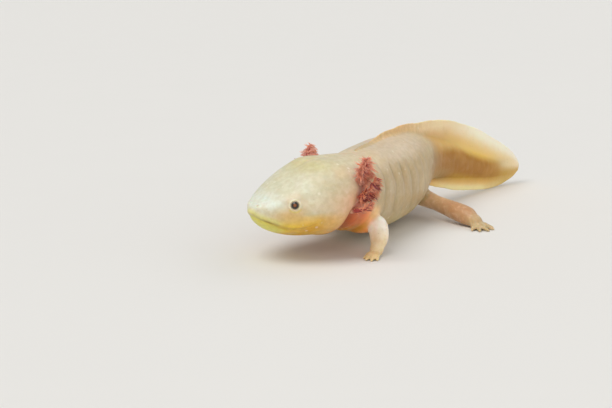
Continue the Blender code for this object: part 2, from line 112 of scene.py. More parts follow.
# -------------------------------------------------------------- shape functions
def smooth(table, x):
    """Monotone cubic through the stations of a table."""
    xs = np.array([p[0] for p in table], float)
    ys = np.array([p[1] for p in table], float)
    x = np.clip(np.asarray(x, float), xs[0], xs[-1])
    h = np.diff(xs)
    d = np.diff(ys) / h
    m = np.zeros_like(ys)
    for i in range(1, len(xs) - 1):
        if d[i - 1] * d[i] > 0:
            w1, w2 = 2 * h[i] + h[i - 1], h[i] + 2 * h[i - 1]
            m[i] = (w1 + w2) / (w1 / d[i - 1] + w2 / d[i])
    m[0], m[-1] = d[0], d[-1]
    i = np.clip(np.searchsorted(xs, x, side="right") - 1, 0, len(xs) - 2)
    t = (x - xs[i]) / h[i]
    return ((2 * t**3 - 3 * t**2 + 1) * ys[i] + (t**3 - 2 * t**2 + t) * h[i] * m[i]
            + (-2 * t**3 + 3 * t**2) * ys[i + 1] + (t**3 - t**2) * h[i] * m[i + 1])


def step(a, b, x):
    """Smooth step from 0 at a to 1 at b."""
    t = np.clip((np.asarray(x, float) - a) / (b - a), 0.0, 1.0)
    return t * t * (3 - 2 * t)


def unit(v):
    return v / np.linalg.norm(v)


def midline():
    t = np.linspace(0, TOTAL_LENGTH, 1201)
    turn = np.radians(smooth(HEADING, t))
    height = smooth(AXIS_HEIGHT, t)
    slope = np.arcsin(np.clip(np.gradient(height, t), -0.9, 0.9))
    back = np.stack([np.sin(turn) * np.cos(slope), np.cos(turn) * np.cos(slope), np.sin(slope)], 1)
    steps = (back[1:] + back[:-1]) / 2 * np.diff(t)[:, None]
    place = np.concatenate([np.zeros((1, 3)), np.cumsum(steps, 0)])
    place -= [np.interp(95.0, t, place[:, k]) for k in range(3)]
    place[:, 2] = height
    return t, place, back


MID_T, MID_P, MID_D = midline()


def frames(s):
    s = np.atleast_1d(np.asarray(s, float))
    p = np.stack([np.interp(s, MID_T, MID_P[:, k]) for k in range(3)], 1)
    d = np.stack([np.interp(s, MID_T, MID_D[:, k]) for k in range(3)], 1)
    d /= np.linalg.norm(d, axis=1)[:, None]
    left = np.cross([0, 0, 1.0], -d)
    left /= np.linalg.norm(left, axis=1)[:, None]
    up = np.cross(-d, left)
    return p, d, left, up


def frame_at(s):
    return tuple(a[0] for a in frames(s))


def ring_grid(stations, angles):
    s = np.atleast_1d(np.asarray(stations, float))
    p, d, left, up = frames(s)
    w, t, b = smooth(WIDTH, s)[:, None], smooth(RISE, s)[:, None], smooth(DROP, s)[:, None]
    e = (2.0 / smooth(EXPONENT, s))[:, None]
    c, q = np.cos(angles)[None, :], np.sin(angles)[None, :]
    x = w * np.sign(c) * np.abs(c) ** e
    z = np.where(q >= 0, t, b) * np.sign(q) * np.abs(q) ** e
    return p[:, None] + x[..., None] * left[:, None] + z[..., None] * up[:, None]


def surface(s, height, side):
    """Point and outward direction on the side of the body at a height over the axis."""
    v = float(smooth(RISE, s)) if height >= 0 else float(smooth(DROP, s))
    e = 2.0 / float(smooth(EXPONENT, s))
    q = min(0.999, (abs(height) / v)) ** (1 / e)
    angle = math.copysign(math.asin(q), height)
    if side < 0:
        angle = math.pi - angle
    a = ring_grid([s], np.array([angle]))[0, 0]
    ds = ring_grid([s + 0.4], np.array([angle]))[0, 0] - ring_grid([max(s - 0.4, 0)], np.array([angle]))[0, 0]
    da = ring_grid([s], np.array([angle + 0.03]))[0, 0] - ring_grid([s], np.array([angle - 0.03]))[0, 0]
    n = unit(np.cross(da, ds))
    if n @ (a - frame_at(s)[0]) < 0:
        n = -n
    return a, n


def smooth_path(points, n):
    pts = np.array(points, float)
    t = np.concatenate([[0], np.cumsum(np.linalg.norm(np.diff(pts, axis=0), axis=1))])
    slope = np.gradient(pts, t, axis=0)
    out, share = [], []
    for x in np.linspace(0, t[-1], n):
        i = min(max(int(np.searchsorted(t, x, side="right")) - 1, 0), len(t) - 2)
        h = t[i + 1] - t[i]
        w = (x - t[i]) / h
        out.append((2 * w**3 - 3 * w**2 + 1) * pts[i] + (w**3 - 2 * w**2 + w) * h * slope[i]
                   + (-2 * w**3 + 3 * w**2) * pts[i + 1] + (w**3 - w**2) * h * slope[i + 1])
        share.append(i + w)
    return np.array(out), np.array(share)


def tube_rings(path, radii, n, flat=1.0):
    t = np.gradient(path, axis=0)
    rings = []
    for p, q, r in zip(path, t, radii):
        q = unit(q)
        a = np.cross([0, 0, 1.0], q)
        if np.linalg.norm(a) < 0.05:
            a = np.array([1.0, 0, 0])
        a = unit(a)
        b = np.cross(q, a)
        th = np.arange(n) * 2 * math.pi / n
        rings.append(p + r * (np.cos(th)[:, None] * a + flat * np.sin(th)[:, None] * b))
    return np.array(rings)


def rounded(path, radii):
    first, last = unit(path[0] - path[1]), unit(path[-1] - path[-2])
    p, r = list(path), list(radii)
    for f, g in ((0.45, 0.86), (0.8, 0.52), (0.95, 0.22)):
        p.append(path[-1] + last * radii[-1] * f)
        r.append(radii[-1] * g)
    p.insert(0, path[0] + first * radii[0] * 0.75)
    r.insert(0, radii[0] * 0.55)
    return np.array(p), r


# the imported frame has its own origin: find the move from these functions to it
trunk_n = max(1, round((TRUNK_END - NECK_END - GAP) / 4.6))
trunk_stations = [NECK_END + GAP + (TRUNK_END - NECK_END - GAP) * i / trunk_n for i in range(trunk_n + 1)]
own = ring_grid(trunk_stations, np.arange(RING_POINTS) * 2 * math.pi / RING_POINTS).reshape(-1, 3)
cad_low, cad_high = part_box("trunk")
SHIFT = (np.array(cad_low) / MM + np.array(cad_high) / MM - own.min(0) - own.max(0)) / 2
print("shift mm", SHIFT.round(3), "fit", (np.array(cad_low) / MM - own.min(0) - SHIFT).round(3))


def to_frame(points):
    return (np.asarray(points, float) + SHIFT) * MM


# ----------------------------------------------------------------- mesh helpers
def mesh_from(name, points, faces):
    me = bpy.data.meshes.new(name)
    me.from_pydata([tuple(p) for p in points], [], faces)
    me.update()
    ob = bpy.data.objects.new(name, me)
    bpy.context.scene.collection.objects.link(ob)
    return ob


def bake(ob):
    graph = bpy.context.evaluated_depsgraph_get()
    new = bpy.data.meshes.new_from_object(ob.evaluated_get(graph))
    ob.modifiers.clear()
    old, ob.data = ob.data, new
    bpy.data.meshes.remove(old)


class Lofts:
    """Collects closed lofts into one list of points and faces."""

    def __init__(self):
        self.points, self.faces, self.count = [], [], 0

    def add(self, rings):
        rings = np.asarray(rings, float)
        k, n = rings.shape[:2]
        base = self.count
        self.points.append(rings.reshape(-1, 3))
        for i in range(k - 1):
            for j in range(n):
                m = (j + 1) % n
                self.faces.append((base + i * n + j, base + i * n + m, base + (i + 1) * n + m, base + (i + 1) * n + j))
        self.faces.append(tuple(base + j for j in range(n - 1, -1, -1)))
        last = base + (k - 1) * n
        self.faces.append(tuple(last + j for j in range(n)))
        self.count += k * n

    def all_points(self):
        return np.concatenate(self.points)


def get_points(me):
    co = np.empty(len(me.vertices) * 3)
    me.vertices.foreach_get("co", co)
    return co.reshape(-1, 3)


def set_points(me, co):
    me.vertices.foreach_set("co", np.ascontiguousarray(co, dtype=float).ravel())
    me.update()


def get_normals(me):
    out = np.empty(len(me.vertices) * 3, dtype=np.float32)
    me.vertex_normals.foreach_get("vector", out)
    return out.reshape(-1, 3).astype(float)


def get_edges(me):
    e = np.empty(len(me.edges) * 2, dtype=np.int32)
    me.edges.foreach_get("vertices", e)
    return e.reshape(-1, 2)


def relax(co, edges, weight, rounds):
    """Move each point toward the mean of its neighbours."""
    n = len(co)
    deg = np.bincount(edges.ravel(), minlength=n).astype(float)
    deg[deg == 0] = 1
    for _ in range(rounds):
        mean = np.empty_like(co)
        for k in range(3):
            mean[:, k] = (np.bincount(edges[:, 0], co[edges[:, 1], k], n) + np.bincount(edges[:, 1], co[edges[:, 0], k], n)) / deg
        co = co + (mean - co) * weight[:, None]
    return co


def put(me, name, values):
    a = me.attributes.new(name, "FLOAT", "POINT")
    a.data.foreach_set("value", np.ascontiguousarray(values, dtype=np.float32))


# --------------------------------------------------------------------- the skin
VOXEL = 0.40
lofts = Lofts()
fine = np.concatenate([[0.0, 0.25, 0.6, 1.1, 1.8, 2.6, 3.6, 4.8], np.arange(6.0, 238.0, 1.1), [238.6]])
lofts.add(ring_grid(fine, np.arange(112) * 2 * math.pi / 112))


def fin_rings(stations, table, upper):
    rings = []
    sign = 1.0 if upper else -1.0
    for s in stations:
        p, d, left, up = frame_at(s)
        core = float(smooth(RISE if upper else DROP, s))
        edge = core + max(float(smooth(table, s)), 0.0)
        sink = min(3.0, core * 0.6)
        base = core - sink if s < TAIL_CORE_END - 1 else -0.8
        fade = min(1.0, (edge - core) / 4.0)
        root = FIN_ROOT * (0.55 + 0.45 * fade)
        if s > TAIL_CORE_END - 24:
            root = min(root, max(0.5, float(smooth(WIDTH, s)) * 0.5))
        edge += 0.12 * math.sin(s * 0.21 + 0.6) + 0.06 * math.sin(s * 0.53 + (2.0 if upper else 4.1)) + 0.03 * math.sin(s * 1.37)
        row = []
        for x, f in ((root * 1.3, 0.0), (root * 1.05, 0.25), (root * 0.9, 0.5), (FIN_EDGE * 1.15, 0.82), (FIN_EDGE, 0.96),
                     (FIN_EDGE * 0.5, 1.0), (-FIN_EDGE * 0.5, 1.0),
                     (-FIN_EDGE, 0.96), (-FIN_EDGE * 1.15, 0.82), (-root * 0.9, 0.5), (-root * 1.05, 0.25), (-root * 1.3, 0.0)):
            q = p + left * x + up * sign * (base + (edge - base) * f)
            q[2] = max(q[2], 0.02)
            row.append(q)
        rings.append(row)
    return rings


lofts.add(fin_rings(np.arange(58.0, TOTAL_LENGTH + 0.1, 1.3), BACK_FIN, True))
lofts.add(fin_rings(np.arange(137.0, TOTAL_LENGTH + 0.1, 1.3), LOWER_FIN, False))

limb_points, limb_radii, limb_share, limb_which = [], [], [], []
for which, (name, spec) in enumerate(LEGS.items()):
    path, share = smooth_path(spec["joints"], 40)
    radii = np.interp(share, range(len(spec["radii"])), spec["radii"])
    # forearm and shin swell a little below the joint and narrow at the wrist
    radii = radii * (1.0 + 0.05 * np.sin(np.clip(share - 1.6, 0, 2.2) / 2.2 * math.pi) - 0.07 * np.exp(-((share - 3.55) / 0.3) ** 2))
    p, r = rounded(path, list(radii))
    lofts.add(tube_rings(p, r, 28, 0.92))
    limb_points += list(path)
    limb_radii += list(radii)
    limb_share += list(share / 4 * 0.7)
    limb_which += [which] * len(path)
    wrist = np.array(spec["joints"][-1], float)
    aim = math.atan2(spec["aim"][1], spec["aim"][0])
    for turn, length in spec["digits"]:
        a = aim + math.radians(turn)
        way = np.array([math.cos(a), math.sin(a), 0.0])
        start = wrist + way * 0.6 - np.array([0, 0, 0.5])
        knuckle = wrist + way * (2.0 + length * 0.45)
        knuckle[2] = 1.55
        end = wrist + way * (2.0 + length)
        end[2] = 0.55
        q, share = smooth_path([start, knuckle, end], 16)
        radii = np.interp(share, [0, 1, 2], [1.7, DIGIT_ROOT, DIGIT_TIP])
        radii = radii * (1.0 + 0.10 * np.exp(-((share - 1.0) / 0.18) ** 2))
        dp, dr = rounded(q, list(radii))
        lofts.add(tube_rings(dp, dr, 14, 0.9))
        limb_points += list(q)
        limb_radii += list(radii)
        limb_share += list(0.7 + share / 2 * 0.3)
        limb_which += [which] * len(q)
LIMB_P, LIMB_R, LIMB_T, LIMB_W = (np.array(a) for a in (limb_points, limb_radii, limb_share, limb_which))

skin = mesh_from("skin", lofts.all_points() * MM, lofts.faces)
bm = bmesh.new()
bm.from_mesh(skin.data)
bmesh.ops.recalc_face_normals(bm, faces=bm.faces)
bm.to_mesh(skin.data)
bm.free()
mod = skin.modifiers.new("fuse", "REMESH")
mod.mode = "VOXEL"
mod.voxel_size = VOXEL * MM
mod.adaptivity = 0.0
bake(skin)
print("remeshed", len(skin.data.vertices))


def survey(co):
    """Station, side and height of points, how far they stand off the body, and the nearest limb."""
    n = len(co)
    idx = np.empty(n, int)
    coarse = MID_P[::5]
    leg_gap, leg_t = np.empty(n), np.empty(n)
    for i in range(0, n, 20000):
        c = co[i:i + 20000]
        d2 = ((c[:, None, :] - coarse[None]) ** 2).sum(2)
        k = d2.argmin(1) * 5
        best = np.full(len(c), 1e9)
        pick = k.copy()
        for o in range(-5, 6):
            kk = np.clip(k + o, 0, len(MID_P) - 1)
            dd = ((c - MID_P[kk]) ** 2).sum(1)
            better = dd < best
            best[better], pick[better] = dd[better], kk[better]
        idx[i:i + 20000] = pick
        dl = np.sqrt(((c[:, None, :] - LIMB_P[None]) ** 2).sum(2)) - LIMB_R[None]
        m = dl.argmin(1)
        leg_gap[i:i + 20000] = dl[np.arange(len(c)), m]
        leg_t[i:i + 20000] = LIMB_T[m]
    s = MID_T[idx]
    p, d, left, up = frames(s)
    off = co - p
    s = s + (off * d).sum(1)
    s = np.clip(s, 0, TOTAL_LENGTH)
    l = (off * left).sum(1)
    u = (off * up).sum(1)
    w = smooth(WIDTH, s)
    v = np.where(u >= 0, smooth(RISE, s), smooth(DROP, s))
    e = smooth(EXPONENT, s)
    f = ((np.abs(l) / w) ** e + (np.abs(u) / v) ** e) ** (1 / e)
    stand = (f - 1) * np.minimum(w, v)
    return dict(s=s, l=l, u=u, w=w, v=v, stand=stand, leg_gap=leg_gap, leg_t=leg_t)


# split faces again round the eyes, mouth and nostrils before they are shaped
EYES = []
for label, side in (("left", 1), ("right", -1)):
    a, n = surface(EYE_STATION, EYE_HEIGHT, side)
    EYES.append((label, side, a - n * EYE_SINK, n, a))
NOSTRILS = [surface(1.9, 1.6, side) for side in (1, -1)]


def axis_distance(co, centre, n):
    off = co - centre
    along = off @ n
    return np.sqrt(np.maximum((off ** 2).sum(1) - along ** 2, 0)), along


co = get_points(skin.data) / MM
info = survey(co)
detail = (info["s"] < MOUTH_CORNER + 5) & (np.abs(info["u"] - smooth(MOUTH, info["s"])) < 1.5)
for label, side, centre, n, a in EYES:
    d, along = axis_distance(co, centre, n)
    detail |= (d < 4.0) & (along > -4)
for a, n in NOSTRILS:
    detail |= np.linalg.norm(co - a, axis=1) < 1.3
bm = bmesh.new()
bm.from_mesh(skin.data)
bm.verts.ensure_lookup_table()
edges = [e for e in bm.edges if detail[e.verts[0].index] and detail[e.verts[1].index]]
bmesh.ops.subdivide_edges(bm, edges=edges, cuts=1, use_grid_fill=True)
bm.to_mesh(skin.data)
bm.free()
print("detailed", len(skin.data.vertices))

# soften the whole, and the joins of legs and fins more
co = get_points(skin.data) / MM
edges = get_edges(skin.data)
info = survey(co)
join_leg = np.exp(-(np.maximum(info["stand"], 0) / 2.6) ** 2) * (info["leg_gap"] < 3.2) * (info["s"] > 30)
join_fin = (np.abs(info["l"]) < 5.0) * np.exp(-(info["stand"] / 1.8) ** 2) * step(60, 75, info["s"])
thin = (np.abs(info["l"]) < 1.6) & (info["stand"] > 1.0) & (info["s"] > 60)
weight = np.full(len(co), 0.5)
weight[thin] = 0.18
co = relax(co, edges, weight, 4)
co = relax(co, edges, np.clip(join_leg * 0.9 + join_fin * 0.75, 0, 0.9), 36)


# ------------------------------------------------------- forms worked in the skin
def normals_of(co):
    set_points(skin.data, co * MM)
    return get_normals(skin.data)


info = survey(co)
s, l, u, w, v = (info[k] for k in ("s", "l", "u", "w", "v"))
on_body = (1 - step(1.2, 3.0, info["stand"])) * (1 - step(0.0, 1.2, -info["leg_gap"]) * step(0.3, 1.5, info["stand"]))
move = np.zeros(len(co))

# cheeks and crown: twin muscle swellings, shallow midline furrow
move += 0.35 * np.exp(-((s - 33) / 9) ** 2) * np.exp(-((np.abs(l) - 9.5) / 5.0) ** 2) * step(4, 10, u)
move -= 0.45 * step(18, 28, s) * (1 - step(52, 62, s)) * np.exp(-(l / 2.0) ** 2) * step(2, 8, u)
# upper lip rolls over the lower jaw, which sits slightly in from it
lip = u - smooth(MOUTH, s)
near = 1 - step(MOUTH_CORNER - 1.0, MOUTH_CORNER + 3.5, s)
move += near * 0.28 * np.exp(-((lip - 1.0) / 0.9) ** 2)
move -= near * (0.15 - 0.08 * step(5, 11, s)) * step(0.15, -0.35, lip) * (1 - step(1.5, 6.0, -lip))
move += near * 0.16 * np.exp(-((lip + 1.5) / 0.9) ** 2)
move -= (0.46 - 0.32 * step(4.5, 8.5, s)) * (0.14 + 0.86 * step(2.2, 7.5, s)) * np.exp(-(lip / (0.34 + 0.40 * step(5.0, 10.0, s))) ** 2) * (1 - step(MOUTH_CORNER - 2, MOUTH_CORNER + 4.0, s))
# crease that runs on from the corner of the mouth
crease = np.exp(-((lip + 0.2) / 0.5) ** 2) * step(MOUTH_CORNER - 2, MOUTH_CORNER, s) * (1 - step(MOUTH_CORNER + 2, MOUTH_CORNER + 7, s))
move -= 0.30 * crease
# soft fold of the lower jaw's edge and throat
move -= 0.25 * np.exp(-((u + 11.5 + 0.03 * (s - 20) ** 2 * 0.1) / 0.8) ** 2) * step(6, 12, s) * (1 - step(26, 33, s)) * step(2, 5, np.abs(l))
# rear edge of the cheek and the fold across the throat
edge_s = smooth(CHEEK_EDGE, u)
behind = s - edge_s
fold_side = 1 - step(9.0, 15.0, u)
jowl = step(1.0, -7.0, u)
move += on_body * fold_side * (0.16 + 0.26 * jowl) * np.exp(-((behind + 2.2) / 2.2) ** 2)
move -= on_body * fold_side * (0.62 + 0.60 * jowl) * step(-1.6 + 0.9 * jowl, 2.0 - 1.2 * jowl, behind) * (1 - step(2.5, 13.0, behind))
# second, fainter neck fold
move -= on_body * 0.28 * np.exp(-((behind - 9.0 - 0.06 * u) / 0.8) ** 2) * (1 - step(6, 12, u)) * (info["leg_gap"] > 2)
# costal grooves between the limbs: broad, soft and uneven, strongest low on the front flank
for k, at in enumerate((45.5, 54.5, 66.3, 76.5, 86.5, 95.5, 104.0, 112.0, 119.5)):
    lean = 0.16 * (u - 4) + 1.1 * math.sin(1.7 * k) * (u / 16) ** 2 + 0.4 * np.sin(u * 0.45 + 2.1 * k)
    depth = (0.40, 0.68, 0.76, 0.70, 0.56, 0.36, 0.22, 0.15, 0.11)[k] * (1.0 + 0.30 * np.sin(u * 0.42 + k * 1.7)) * (0.66 + 0.34 * step(1.0, 8.0, u))
    win = step(-16.0, -9.0, u) * (1 - step(7.0 + 1.5 * math.sin(k * 2.2), 14.5 + 1.5 * math.sin(k * 3.1), u))
    move -= on_body * win * depth * np.exp(-((s - at + lean) / 1.8) ** 2)
    move += on_body * win * 0.18 * np.exp(-((s - at - 5.0 + lean) / 2.8) ** 2)
# muscle bands of the tail, barely raised, and loose skin over the hip
for k in range(15):
    at = 139.0 + 5.6 * k + 0.9 * math.sin(k * 2.3)
    lean = -0.55 * np.abs(u - 0.5)
    move -= on_body * (0.08 - 0.003 * k) * (0.7 + 0.3 * math.sin(k * 1.9)) * np.exp(-((s - at + lean) / 1.1) ** 2) * (info["stand"] < 0.6)
move -= on_body * 0.30 * np.exp(-((s - 122 - 0.25 * u) / 1.6) ** 2) * step(0, -8, u) * (info["leg_gap"] > 1.5)
move -= on_body * 0.22 * np.exp(-((s - 127.5 - 0.35 * u) / 1.3) ** 2) * step(2, -6, u) * (info["leg_gap"] > 1.5)
# skin creases at elbow, knee, wrist and ankle
on_leg = step(1.0, 2.5, info["stand"]) * (info["leg_gap"] < 1.8)
for at, depth in ((0.33, 0.20), (0.37, 0.16), (0.61, 0.16), (0.64, 0.12)):
    move -= on_leg * depth * np.exp(-((info["leg_t"] - at) / 0.010) ** 2)
for at in (0.80, 0.87):
    move -= on_leg * 0.09 * np.exp(-((info["leg_t"] - at) / 0.008) ** 2)

nrm = normals_of(co)
co = co + nrm * move[:, None]

# eyes: a socket just wider than the ball, a raised pale rim and a soft brow
eye_d = np.full(len(co), 30.0)
for label, side, centre, n, a in EYES:
    d, along = axis_distance(co, centre, n)
    here = (along > -3.5) & (d < 9)
    seat = math.sqrt(EYE_RADIUS ** 2 - EYE_SINK ** 2)
    m = np.zeros(len(co))
    m += 0.30 * np.exp(-(d / 4.4) ** 2)
    m += 0.20 * np.exp(-((d - seat - 0.50) / 0.42) ** 2)
    m -= 0.05 * np.exp(-((d - seat - 1.6) / 0.6) ** 2)
    m = np.where(d < seat + 0.15, m - 2.6 * (1 - step(seat - 0.35, seat + 0.12, d)), m)
    co = co + n * np.where(here, m, 0.0)[:, None]
    eye_d = np.where(here, np.minimum(eye_d, d), eye_d)
for a, n in NOSTRILS:
    d, along = axis_distance(co, a, n)
    here = (np.abs(along) < 2.0) & (d < 2.5)
    m = 0.16 * np.exp(-((d - 0.8) / 0.35) ** 2) - 0.75 * np.exp(-(d / 0.42) ** 2)
    co = co + n * np.where(here, m, 0.0)[:, None]

co = relax(co, edges, np.full(len(co), 0.25), 1)
co[:, 2] = np.maximum(co[:, 2], 0.0)
set_points(skin.data, co * MM)

# bring the skin's triangle count under LIMIT
tris = sum(len(p.vertices) - 2 for p in skin.data.polygons)
LIMIT = 196000
if tris > LIMIT:
    mod = skin.modifiers.new("reduce", "DECIMATE")
    mod.ratio = LIMIT / tris
    bake(skin)
print("skin triangles", sum(len(p.vertices) - 2 for p in skin.data.polygons))

co = get_points(skin.data) / MM
co[:, 2] = np.maximum(co[:, 2], 0.0)
info = survey(co)
eye_d = np.full(len(co), 12.0)
for label, side, centre, n, a in EYES:
    d, along = axis_distance(co, centre, n)
    eye_d = np.where((along > -3.5) & (d < 12), np.minimum(eye_d, d), eye_d)
nose_d = np.minimum(*[np.linalg.norm(co - a, axis=1) for a, n in NOSTRILS])
gill_d = np.full(len(co), 40.0)
for spec in GILLS.values():
    a, n = surface(spec["root"][0] + 1.5, spec["root"][1], spec["side"])
    gill_d = np.minimum(gill_d, np.linalg.norm(co - a, axis=1))
s, l, u = info["s"], info["l"], info["u"]
fin_top = step(0.4, 1.0, (u - smooth(RISE, s) + 0.6)) * (np.abs(l) < 2.4) * (s > 56) * np.clip((u - smooth(RISE, s) + 0.6) / np.maximum(smooth(BACK_FIN, s), 0.8), 0, 1)
fin_low = step(0.4, 1.0, (-u - smooth(DROP, s) + 0.6)) * (np.abs(l) < 2.4) * (s > 134) * np.clip((-u - smooth(DROP, s) + 0.6) / np.maximum(smooth(LOWER_FIN, s), 0.8), 0, 1)
past = 0.55 * step(212.0, 239.0, s)
fin = np.clip(np.maximum(np.maximum(fin_top, fin_low), past), 0, 1)
# costal grooves, darkened again in the colour: painted shade
furrow_shade = np.zeros(len(co))
for k, at in enumerate((45.5, 54.5, 66.3, 76.5, 86.5, 95.5, 104.0, 112.0, 119.5)):
    lean = 0.16 * (u - 4) + 1.1 * math.sin(1.7 * k) * (u / 16) ** 2 + 0.4 * np.sin(u * 0.45 + 2.1 * k)
    depth = (0.45, 0.9, 1.0, 0.95, 0.75, 0.48, 0.28, 0.18, 0.12)[k] * (1.0 + 0.30 * np.sin(u * 0.42 + k * 1.7)) * (0.66 + 0.34 * step(1.0, 8.0, u))
    win = step(-16.0, -9.0, u) * (1 - step(7.0 + 1.5 * math.sin(k * 2.2), 14.5 + 1.5 * math.sin(k * 3.1), u)) * (info["leg_gap"] > 0.5)
    furrow_shade += win * depth * np.exp(-((s - at + lean) / 1.8) ** 2)
on_leg = step(0.6, 3.0, info["stand"]) * (info["leg_gap"] < 2.0) * (np.abs(l) > 3)
co[:, 2] = np.maximum(co[:, 2], -SHIFT[2])
set_points(skin.data, to_frame(co))
me = skin.data
put(me, "st", s)
put(me, "sd", l)
put(me, "ht", u)
put(me, "fin", fin)
put(me, "leg", on_leg)
put(me, "legt", info["leg_t"])
put(me, "right", 1 - step(-2.0, 2.0, l))
put(me, "eye", eye_d)
put(me, "nose", nose_d)
put(me, "gill", gill_d)
put(me, "edge", s - smooth(CHEEK_EDGE, u))
put(me, "lip", u - smooth(MOUTH, s))
put(me, "furrow_shade", np.clip(furrow_shade, 0, 1))
me.polygons.foreach_set("use_smooth", np.ones(len(me.polygons), bool))
me.update()


# -------------------------------------------------------------- material helpers
class Nodes:
    """Small helper that chains shader nodes."""

    def __init__(self, name):
        self.mat = bpy.data.materials.new(name)
        self.mat.use_nodes = True
        self.tree = self.mat.node_tree
        self.bsdf = self.tree.nodes["Principled BSDF"]

    def new(self, kind, **settings):
        node = self.tree.nodes.new(kind)
        for k, val in settings.items():
            setattr(node, k, val)
        return node

    def feed(self, socket, value):
        if isinstance(value, bpy.types.NodeSocket):
            self.tree.links.new(value, socket)
        elif isinstance(value, (tuple, list)) and len(value) == 3 and socket.type == "RGBA":
            socket.default_value = (*value, 1.0)
        else:
            socket.default_value = value

    def attr(self, name):
        return self.new("ShaderNodeAttribute", attribute_name=name).outputs["Fac"]

    def where(self):
        return self.new("ShaderNodeTexCoord").outputs["Object"]

    def math(self, op, a, b=None, c=None, clamp=False):
        node = self.new("ShaderNodeMath", operation=op, use_clamp=clamp)
        self.feed(node.inputs[0], a)
        if b is not None:
            self.feed(node.inputs[1], b)
        if c is not None:
            self.feed(node.inputs[2], c)
        return node.outputs[0]

    def span(self, x, a, b, lo=0.0, hi=1.0):
        node = self.new("ShaderNodeMapRange", interpolation_type="SMOOTHSTEP")
        flip = b < a
        self.feed(node.inputs["Value"], x)
        node.inputs["From Min"].default_value = b if flip else a
        node.inputs["From Max"].default_value = a if flip else b
        node.inputs["To Min"].default_value = hi if flip else lo
        node.inputs["To Max"].default_value = lo if flip else hi
        return node.outputs["Result"]

    def bell(self, x, centre, width):
        """1 at the centre, falling to 0 at one width to each side."""
        return self.span(self.math("ABSOLUTE", self.math("SUBTRACT", x, centre)), width, 0.0)

    def mix(self, f, a, b, blend="MIX"):
        node = self.new("ShaderNodeMix", data_type="RGBA", blend_type=blend)
        self.feed(node.inputs[0], f)
        self.feed(node.inputs[6], a)
        self.feed(node.inputs[7], b)
        return node.outputs[2]

    def noise(self, scale, detail=3.0, rough=0.55, vector=None, distort=0.0):
        node = self.new("ShaderNodeTexNoise")
        self.feed(node.inputs["Vector"], vector if vector is not None else self.where())
        node.inputs["Scale"].default_value = scale
        node.inputs["Detail"].default_value = detail
        node.inputs["Roughness"].default_value = rough
        node.inputs["Distortion"].default_value = distort
        return node.outputs["Fac"]

    def cells(self, scale, feature="F1", vector=None):
        node = self.new("ShaderNodeTexVoronoi", feature=feature)
        self.feed(node.inputs["Vector"], vector if vector is not None else self.where())
        node.inputs["Scale"].default_value = scale
        return node.outputs["Distance"]

    def mul(self, a, b):
        return self.math("MULTIPLY", a, b)

    def add(self, a, b):
        return self.math("ADD", a, b)

    def bump(self, height, distance, strength=1.0, under=None):
        node = self.new("ShaderNodeBump")
        node.inputs["Strength"].default_value = strength
        node.inputs["Distance"].default_value = distance
        self.feed(node.inputs["Height"], height)
        if under is not None:
            self.feed(node.inputs["Normal"], under)
        return node.outputs["Normal"]


